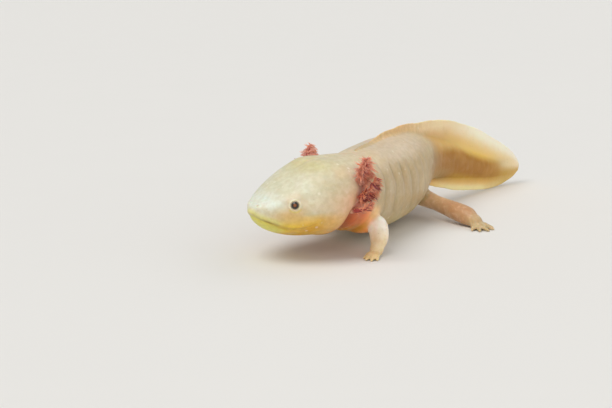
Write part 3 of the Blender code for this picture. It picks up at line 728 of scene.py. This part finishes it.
def skin_material():
    m = Nodes("axolotl_skin")
    st, sd, ht = m.attr("st"), m.attr("sd"), m.attr("ht")
    fin, leg, legt = m.attr("fin"), m.attr("leg"), m.attr("legt")
    eye, nose, gill, edge, lip, furrow_shade = (m.attr(k) for k in ("eye", "nose", "gill", "edge", "lip", "furrow_shade"))
    blotch = m.noise(95.0, 4.0, 0.6)
    soft = m.noise(40.0, 3.0, 0.5)
    mottle = m.noise(400.0, 4.0, 0.60)
    fleck = m.noise(800.0, 3.0, 0.6)
    wave = m.math("SUBTRACT", soft, 0.5)
    patch = m.math("SUBTRACT", blotch, 0.5)

    def loose(x, amount, by=None):
        """Shift a coordinate by slow noise, so that borders between colours wander."""
        return m.add(x, m.mul(by if by is not None else wave, amount))

    # trunk: sandy grey-beige, cream below; paler on the back, partly own colour and partly painted light from above
    colour = m.mix(m.span(loose(ht, 5.0), 8.5, 16.5), (0.540, 0.415, 0.245), (0.625, 0.505, 0.360))
    colour = m.mix(m.span(loose(ht, 6.0), -8.0, -16.0), colour, (0.61, 0.475, 0.235))
    # nape keeps some of the crown's yellow
    colour = m.mix(m.mul(m.span(st, 74.0, 52.0), m.span(ht, 4.0, 13.0)), colour, (0.69, 0.55, 0.36))
    # hip, then the warm brown core of the tail, which lightens to its end; the core's dark brown is partly own colour
    # and partly painted shade
    hip = m.mix(m.span(ht, 3.6, 8.6), (0.41, 0.265, 0.13), (0.575, 0.445, 0.265))
    colour = m.mix(m.span(loose(st, 16.0), 108.0, 134.0), colour, hip)
    core = m.span(m.add(loose(st, 16.0), m.mul(ht, -0.4)), 122.0, 152.0)
    colour = m.mix(core, colour, (0.390, 0.160, 0.004))
    colour = m.mix(m.mul(core, m.mul(m.span(blotch, 0.42, 0.70), 0.25)), colour, (0.55, 0.28, 0.05))
    colour = m.mix(m.mul(m.mul(core, m.mul(m.span(ht, -1.5, -6.0), m.span(st, 170.0, 152.0))), 0.75), colour, (0.42, 0.255, 0.085))
    # the upper half of the tail turns golden toward the fin
    golden = m.mix(m.span(st, 148.0, 182.0), (0.64, 0.385, 0.105), m.mix(m.span(ht, 5.0, 10.0), (0.87, 0.56, 0.075), (0.85, 0.61, 0.19)))
    golden = m.mix(m.span(st, 192.0, 222.0), golden, (0.93, 0.72, 0.32))
    colour = m.mix(m.mul(m.span(loose(st, 14.0), 130.0, 150.0), m.mul(m.span(m.add(loose(ht, 3.0), m.mul(m.bell(st, 166.0, 27.0), -2.7)), 2.2, 7.6), 0.88)), colour, golden)
    colour = m.mix(m.mul(m.mul(m.span(st, 154.0, 174.0), m.span(loose(ht, 2.5), -3.6, -7.4)), 0.55), colour, (0.62, 0.37, 0.03))
    # darker band along the middle of the tail core: partly own colour, partly painted shade
    colour = m.mix(m.mul(m.mul(m.bell(st, 160.0, 20.0), m.bell(ht, 0.2, 4.6)), 0.30), colour, (0.27, 0.105, 0.004))
    colour = m.mix(m.mul(m.span(loose(st, 14.0), 196.0, 234.0), 0.70), colour, (0.66, 0.40, 0.05))
    colour = m.mix(m.mul(m.mul(m.span(st, 206.0, 227.0), m.span(ht, -2.0, 3.0)), 0.76), colour, (0.84, 0.71, 0.46))

    # head: crown and cheek
    head = m.mix(m.span(loose(st, 8.0), 20.0, 40.0), (0.67, 0.655, 0.51), (0.65, 0.575, 0.405))
    cheek = m.mix(m.span(loose(st, 8.0), 16.0, 33.0), (0.66, 0.60, 0.435), (0.69, 0.52, 0.335))
    head = m.mix(m.span(loose(ht, 4.0), 9.0, 1.0), head, cheek)
    # pale greenish white snout: partly own pale colour, partly a painted highlight of cool light
    head = m.mix(m.mul(m.span(loose(st, 5.0), 12.5, 4.0), m.span(ht, -2.0, 3.2)), head, (0.71, 0.76, 0.68))
    # golden jaw: ochre under the eye, yellow along the lip, orange to the rear
    low = m.span(m.add(loose(ht, 5.0), m.mul(m.span(st, 18.0, 22.0), -1.0)), -2.0, -7.0)
    jaw = m.mix(m.span(loose(st, 6.0), 9.0, 22.0), (0.76, 0.54, 0.08), (0.72, 0.425, 0.050))
    jaw = m.mix(m.mul(m.mul(m.span(ht, -7.2, -10.0), m.span(st, 8.0, 13.0)), 0.75), jaw, (0.66, 0.38, 0.035))
    jaw = m.mix(m.span(loose(st, 6.0), 18.0, 28.0), jaw, (0.72, 0.44, 0.130))
    head = m.mix(low, head, jaw)
    # painted shade over the upper cheek behind the eye
    shade = m.mul(m.bell(st, 29.0, 11.0), m.bell(ht, 8.0, 6.0))
    head = m.mix(m.mul(shade, 0.56), head, (0.51, 0.41, 0.24))
    # painted shade on the skin round the eye
    head = m.mix(m.mul(m.mul(m.bell(st, 11.5, 5.0), m.bell(ht, 3.2, 3.2)), 0.50), head, (0.50, 0.46, 0.35))
    head = m.mix(m.mul(m.mul(m.bell(st, 19.0, 6.5), m.bell(ht, 1.5, 5.0)), 0.38), head, (0.82, 0.73, 0.56))
    head = m.mix(m.mul(m.mul(m.bell(st, 17.0, 9.0), m.mul(m.span(ht, -7.6, -5.2), m.span(ht, -1.5, -3.5))), 0.50), head, (0.86, 0.57, 0.13))
    head = m.mix(m.mul(m.mul(m.span(m.add(ht, m.mul(m.span(st, 22.0, 6.0), 6.5)), 11.0, 15.0), m.bell(st, 23.0, 21.0)), 0.92), head, (0.61, 0.55, 0.29))
    under = m.mul(m.bell(st, 11.0, 9.0), m.bell(loose(ht, 3.0), -2.4, 4.8))
    head = m.mix(m.mul(under, 0.78), head, (0.69, 0.435, 0.115))
    # darker orange along the crease under the mouth line: painted shade
    jaw_crease_shade = m.mul(m.bell(st, 19.0, 7.5), m.bell(m.add(ht, m.mul(patch, 3.0)), -8.6, 1.9))
    head = m.mix(m.mul(jaw_crease_shade, 0.65), head, (0.60, 0.30, 0.035))
    # upper lip pale yellow in front, lower lip strong yellow, chin cream
    head = m.mix(m.mul(m.mul(m.span(st, 11.0, 5.0), m.span(m.add(lip, m.mul(patch, 1.5)), 3.5, 0.4)), 0.88), head, (0.70, 0.66, 0.235))
    head = m.mix(m.mul(m.span(st, 12.5, 6.0), m.span(lip, 0.0, -0.6)), head, (0.70, 0.645, 0.145))
    head = m.mix(m.mul(m.span(ht, -11.5, -14.5), 0.6), head, (0.72, 0.44, 0.080))
    # peach blush at the rear of the cheek
    peach = m.mul(m.mul(m.bell(edge, -3.0, 8.5), m.bell(loose(ht, 4.0), 0.0, 10.0)), 0.60)
    head = m.mix(peach, head, (0.77, 0.50, 0.33))
    # darker red-brown along the cheek's rear edge: painted shade
    head = m.mix(m.mul(m.mul(m.bell(edge, -1.0, 4.0), m.span(ht, 6.0, 0.0)), 0.5), head, (0.62, 0.34, 0.18))
    brow = m.mul(m.bell(st, 35.0, 6.0), m.bell(ht, 11.5, 3.0))
    head = m.mix(m.mul(brow, 0.45), head, (0.78, 0.58, 0.35))
    colour = m.mix(m.span(m.add(edge, m.mul(patch, 3.0)), 6.5, -1.5), colour, head)
    # blood showing through the skin behind the cheek and under the gills, with painted shade in the fold behind the
    # cheek and, in part, under the chest
    colour = m.mix(m.mul(m.span(loose(gill, 6.0, patch), 9.5, 3.0), m.span(edge, -1.6, 2.0)), colour, (0.60, 0.165, 0.085))
    colour = m.mix(m.mul(m.mul(m.span(gill, 10.0, 3.5), m.span(edge, 0.0, -3.5)), 0.30), colour, (0.76, 0.40, 0.27))
    throat = m.mul(m.mul(m.span(loose(ht, 4.0), -2.5, -7.0), m.span(edge, -1.5, 0.5)), m.span(m.add(loose(st, 4.0), m.mul(ht, 0.6)), 51.0, 44.5))
    ruddy = m.mix(m.span(st, 34.0, 39.0), (0.36, 0.070, 0.014), (0.60, 0.130, 0.036))
    ruddy = m.mix(m.span(st, 40.5, 45.0), ruddy, (0.96, 0.340, 0.125))
    ruddy = m.mix(m.span(st, 44.0, 48.5), ruddy, (0.97, 0.62, 0.31))
    colour = m.mix(m.mul(throat, 0.94), colour, ruddy)
    # dark red in the fold just behind the cheek: painted shade
    cheek_fold_shade = m.mul(m.mul(m.bell(m.add(edge, m.mul(patch, 2.0)), 1.2, 3.2), m.bell(ht, -7.0, 5.5)), 0.75)
    # darker brown under the chest: partly own colour, partly painted shade
    chest_tint_and_shade = m.mul(m.mul(m.span(loose(ht, 2.0), -11.0, -14.5), m.span(edge, -3.0, 1.0)), m.span(st, 62.0, 52.0))
    colour = m.mix(m.mul(chest_tint_and_shade, 0.88), colour, (0.60, 0.275, 0.025))
    colour = m.mix(cheek_fold_shade, colour, (0.34, 0.065, 0.018))

    # costal grooves tinted darker: painted shade
    colour = m.mix(m.mul(furrow_shade, 0.40), colour, (0.33, 0.23, 0.12))

    # fins: gold that pales to the edge, raised near white: partly own colour, partly painted light shining through the
    # thin fin
    gold = m.mix(m.span(m.add(fin, m.mul(patch, 0.3)), 0.20, 0.75), m.mix(m.span(st, 145.0, 170.0), (0.88, 0.69, 0.42), m.mix(m.span(st, 178.0, 198.0), (0.86, 0.61, 0.28), (0.90, 0.71, 0.36))), m.mix(m.span(st, 158.0, 192.0), (0.86, 0.70, 0.43), (0.97, 0.89, 0.70)))
    gold = m.mix(m.span(ht, 2.0, -2.0), gold, m.mix(m.span(st, 200.0, 226.0), m.mix(m.span(fin, 0.25, 0.85), (0.95, 0.62, 0.20), (0.99, 0.82, 0.42)), (0.67, 0.47, 0.14)))
    gold = m.mix(m.span(st, 156.0, 112.0), gold, m.mix(m.span(ht, 2.0, -2.0), (0.73, 0.50, 0.235), (0.84, 0.50, 0.13)))
    gold = m.mix(m.mul(m.mul(m.span(ht, 2.0, -2.0), m.span(st, 172.0, 146.0)), 0.8), gold, (0.86, 0.52, 0.13))
    gold = m.mix(m.span(st, 96.0, 66.0), gold, (0.57, 0.43, 0.24))
    reach = m.span(st, 126.0, 165.0, 0.42, 0.85)
    colour = m.mix(m.math("DIVIDE", m.math("MAXIMUM", m.add(fin, m.mul(patch, 0.25)), 0.0), reach, clamp=True), colour, gold)

    # limbs: blood-orange upper arm, pale cream forearm; tan hind leg, golden toes. The arm's colours are raised
    # brighter, partly as painted light
    # upper arm lighter toward the elbow: partly own colour, partly painted light
    fore = m.mix(m.span(legt, 0.14, 0.245), (0.78, 0.20, 0.052), (0.98, 0.40, 0.125))
    # the right arm stands clear of the chest, so its blood colour is fainter
    fore = m.mix(m.mul(m.attr("right"), m.span(legt, 0.06, 0.20, 0.35, 0.85)), fore, (0.86, 0.60, 0.39))
    # near-white cream on the forearm: partly own colour, partly painted light from above
    fore = m.mix(m.span(loose(legt, 0.04, patch), 0.255, 0.325), fore, (0.98, 0.90, 0.79))
    fore = m.mix(m.span(loose(legt, 0.08, patch), 0.40, 0.60), fore, (0.84, 0.67, 0.42))
    fore = m.mix(m.span(legt, 0.66, 0.84), fore, (0.73, 0.54, 0.27))
    hind = m.mix(m.span(loose(legt, 0.15), 0.10, 0.40), (0.76, 0.51, 0.30), (0.50, 0.275, 0.14))
    hind = m.mix(m.span(legt, 0.46, 0.82), hind, (0.53, 0.405, 0.225))
    limb = m.mix(m.span(st, 75.0, 90.0), fore, hind)
    limb = m.mix(m.mul(m.span(mottle, 0.50, 0.70), 0.15), limb, (0.88, 0.77, 0.58))
    colour = m.mix(leg, colour, limb)

    # eye rim, nostril and lips, with painted shade where the lid meets the eye, in the nostril pits and along the
    # mouth line
    colour = m.mix(m.mul(m.bell(m.add(eye, m.mul(patch, 0.6)), 2.15, 0.66), m.span(ht, 0.8, 2.6, 0.35, 0.85)), colour, (0.82, 0.79, 0.65))
    # dark skin where the lid meets the eye: painted shade
    colour = m.mix(m.mul(m.span(eye, 1.90, 1.64), 0.75), colour, (0.26, 0.20, 0.12))
    colour = m.mix(m.mul(m.span(eye, 6.0, 3.0), 0.22), colour, (0.74, 0.53, 0.33))
    colour = m.mix(m.mul(m.mul(m.bell(eye, 2.8, 0.8), m.span(ht, 1.3, -0.1)), 0.60), colour, (0.72, 0.60, 0.17))
    # dark nostril pit: painted shade
    colour = m.mix(m.mul(m.span(nose, 0.55, 0.2), 0.55), colour, (0.40, 0.30, 0.15))
    # dark line along the front of the mouth: painted shade in the lip seam
    mouth_shade = m.mul(m.bell(m.add(lip, m.mul(patch, 0.5)), -0.05, 0.55), m.mul(m.span(st, 7.4, 4.8), m.span(st, 1.0, 4.6, 0.15, 1.0)))
    colour = m.mix(m.mul(mouth_shade, 0.80), colour, (0.22, 0.145, 0.02))
    # olive line along the rear of the mouth and its crease: painted shade
    mouth_shade = m.mul(m.bell(m.add(lip, m.mul(patch, 1.0)), -0.2, 1.3), m.mul(m.span(st, MOUTH_CORNER + 7.0, 9.0), m.span(st, 2.0, 6.5, 0.35, 1.0)))
    colour = m.mix(m.mul(mouth_shade, 0.55), colour, (0.47, 0.28, 0.030))

    # mottling, freckles, pale iridescent flecks and gold dust
    body = m.math("SUBTRACT", 1.0, core)
    tone = m.mix(m.span(mottle, 0.36, 0.66), (0.93, 0.905, 0.84), (1.05, 1.05, 1.06))
    colour = m.mix(m.mul(body, 0.9), colour, tone, "MULTIPLY")
    colour = m.mix(m.mul(m.mul(m.span(blotch, 0.52, 0.72), body), 0.14), colour, (0.84, 0.78, 0.58))
    colour = m.mix(m.mul(m.span(blotch, 0.46, 0.28), 0.16), colour, (0.58, 0.39, 0.14))
    dots = m.mul(m.mul(m.span(m.cells(270.0), 0.24, 0.10), m.span(m.noise(110.0, 2.0), 0.53, 0.62)), m.math("SUBTRACT", 1.0, leg))
    colour = m.mix(m.mul(m.mul(dots, body), 0.36), colour, (0.92, 0.88, 0.77))
    dark = m.mul(m.span(m.cells(520.0), 0.18, 0.06), m.span(m.noise(70.0, 2.0), 0.46, 0.62))
    colour = m.mix(m.mul(dark, 0.30), colour, (0.42, 0.26, 0.09))
    m.feed(m.bsdf.inputs["Base Color"], colour)

    rough = m.add(0.42, m.mul(m.math("SUBTRACT", fleck, 0.5), 0.25))
    m.feed(m.bsdf.inputs["Roughness"], rough)
    m.bsdf.inputs["Specular IOR Level"].default_value = 0.36
    m.bsdf.inputs["IOR"].default_value = 1.40
    m.bsdf.inputs["Coat Weight"].default_value = 0.10
    m.bsdf.inputs["Coat Roughness"].default_value = 0.30
    m.bsdf.inputs["Subsurface Weight"].default_value = 0.40
    m.bsdf.inputs["Subsurface Radius"].default_value = (1.0, 0.50, 0.25)
    m.bsdf.inputs["Subsurface Scale"].default_value = 0.0020

    # fine pebbled grain, pores and soft wrinkling
    grain = m.add(m.mul(m.cells(900.0), 0.5), m.mul(m.noise(1500.0, 3.0, 0.6), 0.5))
    normal = m.bump(grain, 0.00012, 0.45)
    normal = m.bump(m.noise(260.0, 4.0, 0.55, distort=0.3), 0.00022, 0.30, normal)
    # fin rays: fine upright streaks
    spread = m.new("ShaderNodeCombineXYZ")
    m.feed(spread.inputs[0], m.mul(st, 1.0))
    m.feed(spread.inputs[1], m.mul(ht, 0.09))
    ray = m.noise(1.35, 3.0, 0.6, vector=spread.outputs[0])
    normal = m.bump(m.mul(ray, m.span(fin, 0.05, 0.4)), 0.0006, 0.5, normal)
    m.feed(m.bsdf.inputs["Normal"], normal)
    return m.mat


skin.data.materials.clear()
skin.data.materials.append(skin_material())
FLESH = ["head", "neck", "trunk", "tail", "dorsal_fin", "tail_fin_upper", "tail_fin_lower"] + list(LEGS)
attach(skin, "root")
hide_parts(*FLESH)


# --------------------------------------------------------------------- the eyes
def eye_material(name):
    m = Nodes(name)
    r = m.attr("off_axis")          # distance from the eye's axis, in mm
    turn = m.attr("turn")
    spread = m.new("ShaderNodeCombineXYZ")
    m.feed(spread.inputs[0], m.mul(turn, 5.0))
    m.feed(spread.inputs[1], m.mul(r, 0.5))
    threads = m.noise(3.0, 4.0, 0.6, vector=spread.outputs[0])
    colour = m.mix(m.span(r, 0.34, 0.80), (0.230, 0.062, 0.008), (0.022, 0.013, 0.008))
    colour = m.mix(m.mul(m.bell(r, 0.48, 0.42), m.span(threads, 0.4, 0.7)), colour, (0.30, 0.080, 0.012))
    colour = m.mix(m.mul(m.span(r, 0.95, 1.35), m.span(threads, 0.25, 0.75, 0.4, 0.9)), colour, (0.080, 0.064, 0.052))
    colour = m.mix(m.mul(m.span(r, 1.36, 1.60), 0.8), colour, (0.36, 0.31, 0.22))
    colour = m.mix(m.span(r, 1.56, 1.70), colour, (0.66, 0.59, 0.43))
    m.feed(m.bsdf.inputs["Base Color"], colour)
    m.bsdf.inputs["Roughness"].default_value = 0.28
    m.bsdf.inputs["Specular IOR Level"].default_value = 0.35
    m.bsdf.inputs["Coat Weight"].default_value = 0.45
    m.bsdf.inputs["Coat Roughness"].default_value = 0.04
    m.bsdf.inputs["Coat IOR"].default_value = 1.38
    return m.mat


for label, side, centre, n, a in EYES:
    n1 = unit(np.cross([0, 0, 1.0], n))
    n2 = np.cross(n, n1)
    rows, cols = 40, 48
    pts, fc = [], []
    for i in range(rows + 1):
        th = math.pi * i / rows
        # the lens stands a touch proud of the ball
        rad = EYE_RADIUS * (1.0 - 0.012 * math.exp(-((th - 0.62) / 0.18) ** 2))
        for j in range(cols):
            ph = 2 * math.pi * j / cols
            pts.append(centre + rad * (math.cos(th) * n + math.sin(th) * (math.cos(ph) * n1 + math.sin(ph) * n2)))
    for i in range(rows):
        for j in range(cols):
            k = (j + 1) % cols
            fc.append((i * cols + j, (i + 1) * cols + j, (i + 1) * cols + k, i * cols + k))
    ball = mesh_from("eye_ball_" + label, to_frame(pts), fc)
    bm = bmesh.new()
    bm.from_mesh(ball.data)
    bmesh.ops.remove_doubles(bm, verts=bm.verts, dist=1e-7)
    bmesh.ops.recalc_face_normals(bm, faces=bm.faces)
    bm.to_mesh(ball.data)
    bm.free()
    back = get_points(ball.data) / MM - SHIFT - centre
    along = back @ n
    off = np.sqrt(np.maximum((back ** 2).sum(1) - along ** 2, 0))
    off = np.where(along < 0, EYE_RADIUS + 1, off)
    put(ball.data, "off_axis", off)
    put(ball.data, "turn", np.abs(np.arctan2(back @ n2, back @ n1)))
    ball.data.polygons.foreach_set("use_smooth", np.ones(len(ball.data.polygons), bool))
    ball.data.materials.append(eye_material("eye_wet_" + label))
    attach(ball, "root")
    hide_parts("eye_" + label)


# -------------------------------------------------------------------- the gills
def gill_material():
    m = Nodes("gill_frill")
    t, pick, stalk, tone = m.attr("along"), m.attr("pick"), m.attr("stalk"), m.attr("tone")
    colour = m.mix(m.span(t, 0.06, 0.36), (0.24, 0.016, 0.026), (0.72, 0.115, 0.060))
    colour = m.mix(m.span(t, 0.34, 0.85), colour, (0.94, 0.31, 0.16))
    colour = m.mix(m.mul(m.span(pick, 0.55, 1.0), 0.50), colour, (0.96, 0.33, 0.14))
    colour = m.mix(m.mul(m.span(pick, 0.40, 0.05), m.math("SUBTRACT", 0.92, m.mul(tone, 0.50))), colour, (0.20, 0.012, 0.030))
    colour = m.mix(m.mul(tone, 0.40), colour, (0.97, 0.46, 0.37))
    colour = m.mix(m.span(tone, 0.45, 0.0, 0.0, 0.20), colour, (0.22, 0.018, 0.042))
    rod = m.mix(m.span(t, 0.02, 0.26), (0.80, 0.50, 0.32), (0.34, 0.045, 0.035))
    rod = m.mix(m.span(t, 0.6, 1.0), rod, (0.50, 0.09, 0.06))
    rod = m.mix(m.mul(m.span(m.noise(700.0, 3.0), 0.45, 0.65), 0.4), rod, (0.20, 0.020, 0.024))
    colour = m.mix(stalk, colour, rod)
    m.feed(m.bsdf.inputs["Base Color"], colour)
    m.bsdf.inputs["Roughness"].default_value = 0.45
    m.bsdf.inputs["Subsurface Weight"].default_value = 0.35
    m.bsdf.inputs["Subsurface Radius"].default_value = (1.0, 0.35, 0.25)
    m.bsdf.inputs["Subsurface Scale"].default_value = 0.0016
    m.bsdf.inputs["Specular IOR Level"].default_value = 0.35
    m.feed(m.bsdf.inputs["Normal"], m.bump(m.noise(1800.0, 2.0), 0.00008, 0.4))
    return m.mat


FRILL = gill_material()
FILAMENTS = 880
TONES = {"gill_left_upper": 0.80, "gill_left_middle": 0.0, "gill_left_lower": 0.35, "gill_right_upper": 1.5}
SHORT = {"gill_left_lower": 0.62}
SIDES, LINKS = 4, 8
floor_keep = 0.4


def make_gill(name, spec):
    st0, height = spec["root"]
    a, n = surface(st0, height, spec["side"])
    p, d, left, up = frame_at(st0)
    back, out, rise = spec["run"]
    run = d * back + left * spec["side"] * out + up * rise
    root = a - n * 2.2 - d * 0.0
    tip = a + run * 0.93 + n * 0.8
    middle = (a + a + run) / 2 + n * 1.4
    path, share = smooth_path([root, middle, tip], 25)
    points, faces, along, pick, stalk, patch = [], [], [], [], [], []
    # stalk
    count = 12
    rings = tube_rings(path, [1.55 * (1 - 0.72 * (i / 24) ** 0.8) for i in range(25)], count, 0.85)
    points += list(rings.reshape(-1, 3))
    for i in range(25):
        along += [i / 24] * count
        pick += [0.5] * count
        stalk += [1.0] * count
    for i in range(24):
        for j in range(count):
            k = (j + 1) % count
            faces.append((i * count + j, i * count + k, (i + 1) * count + k, (i + 1) * count + j))
    faces.append(tuple(range(count - 1, -1, -1)))
    faces.append(tuple(24 * count + j for j in range(count)))
    tangent = np.gradient(path, axis=0)
    tangent /= np.linalg.norm(tangent, axis=1)[:, None]
    hang = 0.05 if name == "gill_left_lower" else 0.85
    spread = 0.8 if name == "gill_left_upper" else 0.0
    droop = unit(d * 0.55 + left * spec["side"] * 0.15 - np.array([0, 0, hang]))
    for f in range(FILAMENTS):
        if f % 8 == 0:
            # filaments hang together in soft tufts that hang down and back
            tuft = f // 8
            tuft_t = 0.13 + 0.87 * (f + 8 * RNG.random()) / FILAMENTS
            tuft_spin = RNG.normal(0, 0.55) + (math.pi if tuft % 2 else 0.0)
            tuft_bend = RNG.uniform(0.35, 0.95)
            tuft_long = RNG.uniform(0.78, 1.15)
            tuft_shade = RNG.random()
            tuft_lean = RNG.uniform(0.05, 0.55)
            tuft_sway = RNG.normal(0, 0.16, 3)
        t = min(1.0, max(0.11, tuft_t + RNG.normal(0, 0.022)))
        x = t * 24
        i = min(int(x), 23)
        q = path[i] + (path[i + 1] - path[i]) * (x - i)
        ahead = unit(tangent[i] + (tangent[i + 1] - tangent[i]) * (x - i))
        across = unit(np.cross(ahead, n))
        thick = np.cross(across, ahead)
        full = math.sin(math.pi * min(1.0, 0.24 + 0.60 * t)) ** 0.5
        spin = tuft_spin + RNG.normal(0, 0.20)
        if t > 0.9:
            spin = RNG.uniform(0, 2 * math.pi)
        way = unit(across * math.cos(spin) + thick * 0.75 * math.sin(spin) + ahead * (tuft_lean + 0.9 * max(0.0, t - 0.75)))
        fan = spread * min(1.0, max(0.0, (t - 0.35) / 0.4))
        way = unit(way - d * 0.9 * fan)
        length = spec["width"] * 1.12 * SHORT.get(name, 1.0) * full * tuft_long * RNG.uniform(0.80, 1.06) * (0.72 + 0.28 * min(1.0, t * 3)) * (1.0 - 0.22 * max(0.0, t - 0.8) / 0.2)
        if abs(math.sin(spin)) > 0.6:
            length *= 0.62
        length *= 1.0 + 0.75 * fan * max(0.0, -float(way @ d))
        bend = droop * tuft_bend * (1.0 - 0.6 * fan) + tuft_sway + RNG.normal(0, 0.07, 3)
        base_r = RNG.uniform(0.17, 0.24)
        start = len(points)
        # frame of the filament
        e1 = np.cross(way, n)
        e1 = unit(e1) if np.linalg.norm(e1) > 1e-3 else across
        e2 = np.cross(way, e1)
        shade = min(1.0, max(0.0, tuft_shade + RNG.normal(0, 0.12)))
        for k in range(LINKS):
            h = k / (LINKS - 1)
            c = q + (way * (h - 0.25 * tuft_bend * h * h) + bend * h * h) * length
            r = base_r * (1.0 - 0.66 * h ** 1.4)
            if k == LINKS - 1:
                r *= 0.5
            for j in range(SIDES):
                g = 2 * math.pi * j / SIDES
                points.append(c + r * (math.cos(g) * e1 + math.sin(g) * e2))
                along.append(0.10 + 0.9 * h)
                pick.append(shade)
                stalk.append(0.0)
        for k in range(LINKS - 1):
            for j in range(SIDES):
                m = (j + 1) % SIDES
                faces.append((start + k * SIDES + j, start + k * SIDES + m, start + (k + 1) * SIDES + m, start + (k + 1) * SIDES + j))
        faces.append(tuple(start + j for j in range(SIDES - 1, -1, -1)))
        last = start + (LINKS - 1) * SIDES
        faces.append(tuple(last + j for j in range(SIDES)))
        patch.append((start, len(points), t, math.cos(spin) > 0))
    pts = np.array(points)
    pts[:, 2] = np.maximum(pts[:, 2], floor_keep)
    ob = mesh_from(name + "_frill", to_frame(pts), faces)
    me = ob.data
    put(me, "along", along)
    put(me, "pick", pick)
    put(me, "stalk", stalk)
    put(me, "tone", np.full(len(points), TONES.get(name, 0.5)))
    # unwrap: the stalk fills the middle strip, each filament a small patch
    # beside it at the height of its root
    uv = np.zeros((len(points), 2))
    for i in range(25):
        for j in range(count):
            uv[i * count + j] = (0.42 + 0.16 * j / (count - 1), 0.04 + 0.92 * i / 24)
    for f, (lo, hi, t, right_side) in enumerate(patch):
        lane = (f // 2) % 12
        u0 = (0.62 + 0.028 * lane) if right_side else (0.04 + 0.028 * lane)
        v0 = 0.04 + 0.90 * t
        for k in range(lo, hi):
            row, col = divmod(k - lo, SIDES)
            uv[k] = (u0 + 0.003 * col / SIDES, v0 + 0.003 * row / LINKS)
    layer = me.uv_layers.new(name="OFBake")
    loops = np.empty(len(me.loops), dtype=np.int32)
    me.loops.foreach_get("vertex_index", loops)
    layer.data.foreach_set("uv", uv[loops].ravel())
    me.polygons.foreach_set("use_smooth", np.ones(len(me.polygons), bool))
    me.materials.append(FRILL)
    bm = bmesh.new()
    bm.from_mesh(me)
    bmesh.ops.recalc_face_normals(bm, faces=bm.faces)
    bm.to_mesh(me)
    bm.free()
    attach(ob, "root")
    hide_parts(name)
    return ob


for name, spec in GILLS.items():
    g = make_gill(name, spec)
print("gill triangles each", sum(len(p.vertices) - 2 for p in g.data.polygons))


# ------------------------------------------------------- floor, light and camera
def plain(name, colour, rough):
    m = Nodes(name)
    grain = m.noise(14.0, 4.0, 0.5)
    m.feed(m.bsdf.inputs["Base Color"], m.mix(m.mul(grain, 0.25), colour, tuple(c * 0.94 for c in colour)))
    m.bsdf.inputs["Roughness"].default_value = rough
    return m.mat


ground = mesh_from("ground", [(-9, -9, -0.00003), (9, -9, -0.00003), (9, 12, -0.00003), (-9, 12, -0.00003)], [(0, 1, 2, 3)])
ground.data.materials.append(plain("pale_ground", (0.76, 0.745, 0.72), 0.75))

world = bpy.data.worlds.new("studio")
world.use_nodes = True
world.node_tree.nodes["Background"].inputs["Color"].default_value = (0.96, 0.98, 1.0, 1.0)
world.node_tree.nodes["Background"].inputs["Strength"].default_value = 0.42
bpy.context.scene.world = world


def lamp(name, towards, strength, spread, colour):
    """A broad distant light: towards points from the model to the light."""
    light = bpy.data.lights.new(name, "SUN")
    light.energy = strength
    light.angle = math.radians(spread)
    light.color = colour
    ob = bpy.data.objects.new(name, light)
    bpy.context.scene.collection.objects.link(ob)
    ob.location = Vector(towards) * 2.0
    ob.rotation_euler = (-Vector(towards)).to_track_quat("-Z", "Y").to_euler()
    return ob


lamp("key", (-0.22, -0.42, 0.88), 1.75, 40.0, (1.0, 0.985, 0.95))
lamp("front", (0.42, -0.86, 0.25), 0.80, 60.0, (1.0, 0.97, 0.92))
lamp("side", (0.92, 0.20, 0.34), 0.45, 60.0, (1.0, 0.99, 0.96))
lamp("rim", (0.30, 0.75, 0.60), 0.35, 40.0, (0.96, 0.98, 1.0))
bpy.context.scene.view_settings.view_transform = "Standard"

AZ, PITCH, DIST, FOCAL = math.radians(28.0), math.radians(12.0), 430.0, 1060.0
TARGET = (249.5, 209.0)
fwd = np.array([-math.sin(AZ) * math.cos(PITCH), math.cos(AZ) * math.cos(PITCH), -math.sin(PITCH)])
right = np.array([math.cos(AZ), math.sin(AZ), 0.0])
upward = np.cross(right, fwd)
ray = fwd + right * ((TARGET[0] - 306) / FOCAL) - upward * ((TARGET[1] - 204) / FOCAL)
eye_point = frame_at(0.0)[0] - ray * DIST
cam = bpy.data.cameras.new("view")
cam.sensor_fit = "HORIZONTAL"
cam.sensor_width = 36.0
cam.lens = FOCAL * 36.0 / 612.0
cam.clip_start, cam.clip_end = 0.01, 20.0
view = bpy.data.objects.new("view", cam)
bpy.context.scene.collection.objects.link(view)
place = to_frame(eye_point)
view.matrix_world = Matrix((
    (right[0], upward[0], -fwd[0], place[0]),
    (right[1], upward[1], -fwd[1], place[1]),
    (right[2], upward[2], -fwd[2], place[2]),
    (0, 0, 0, 1)))
bpy.context.scene.camera = view

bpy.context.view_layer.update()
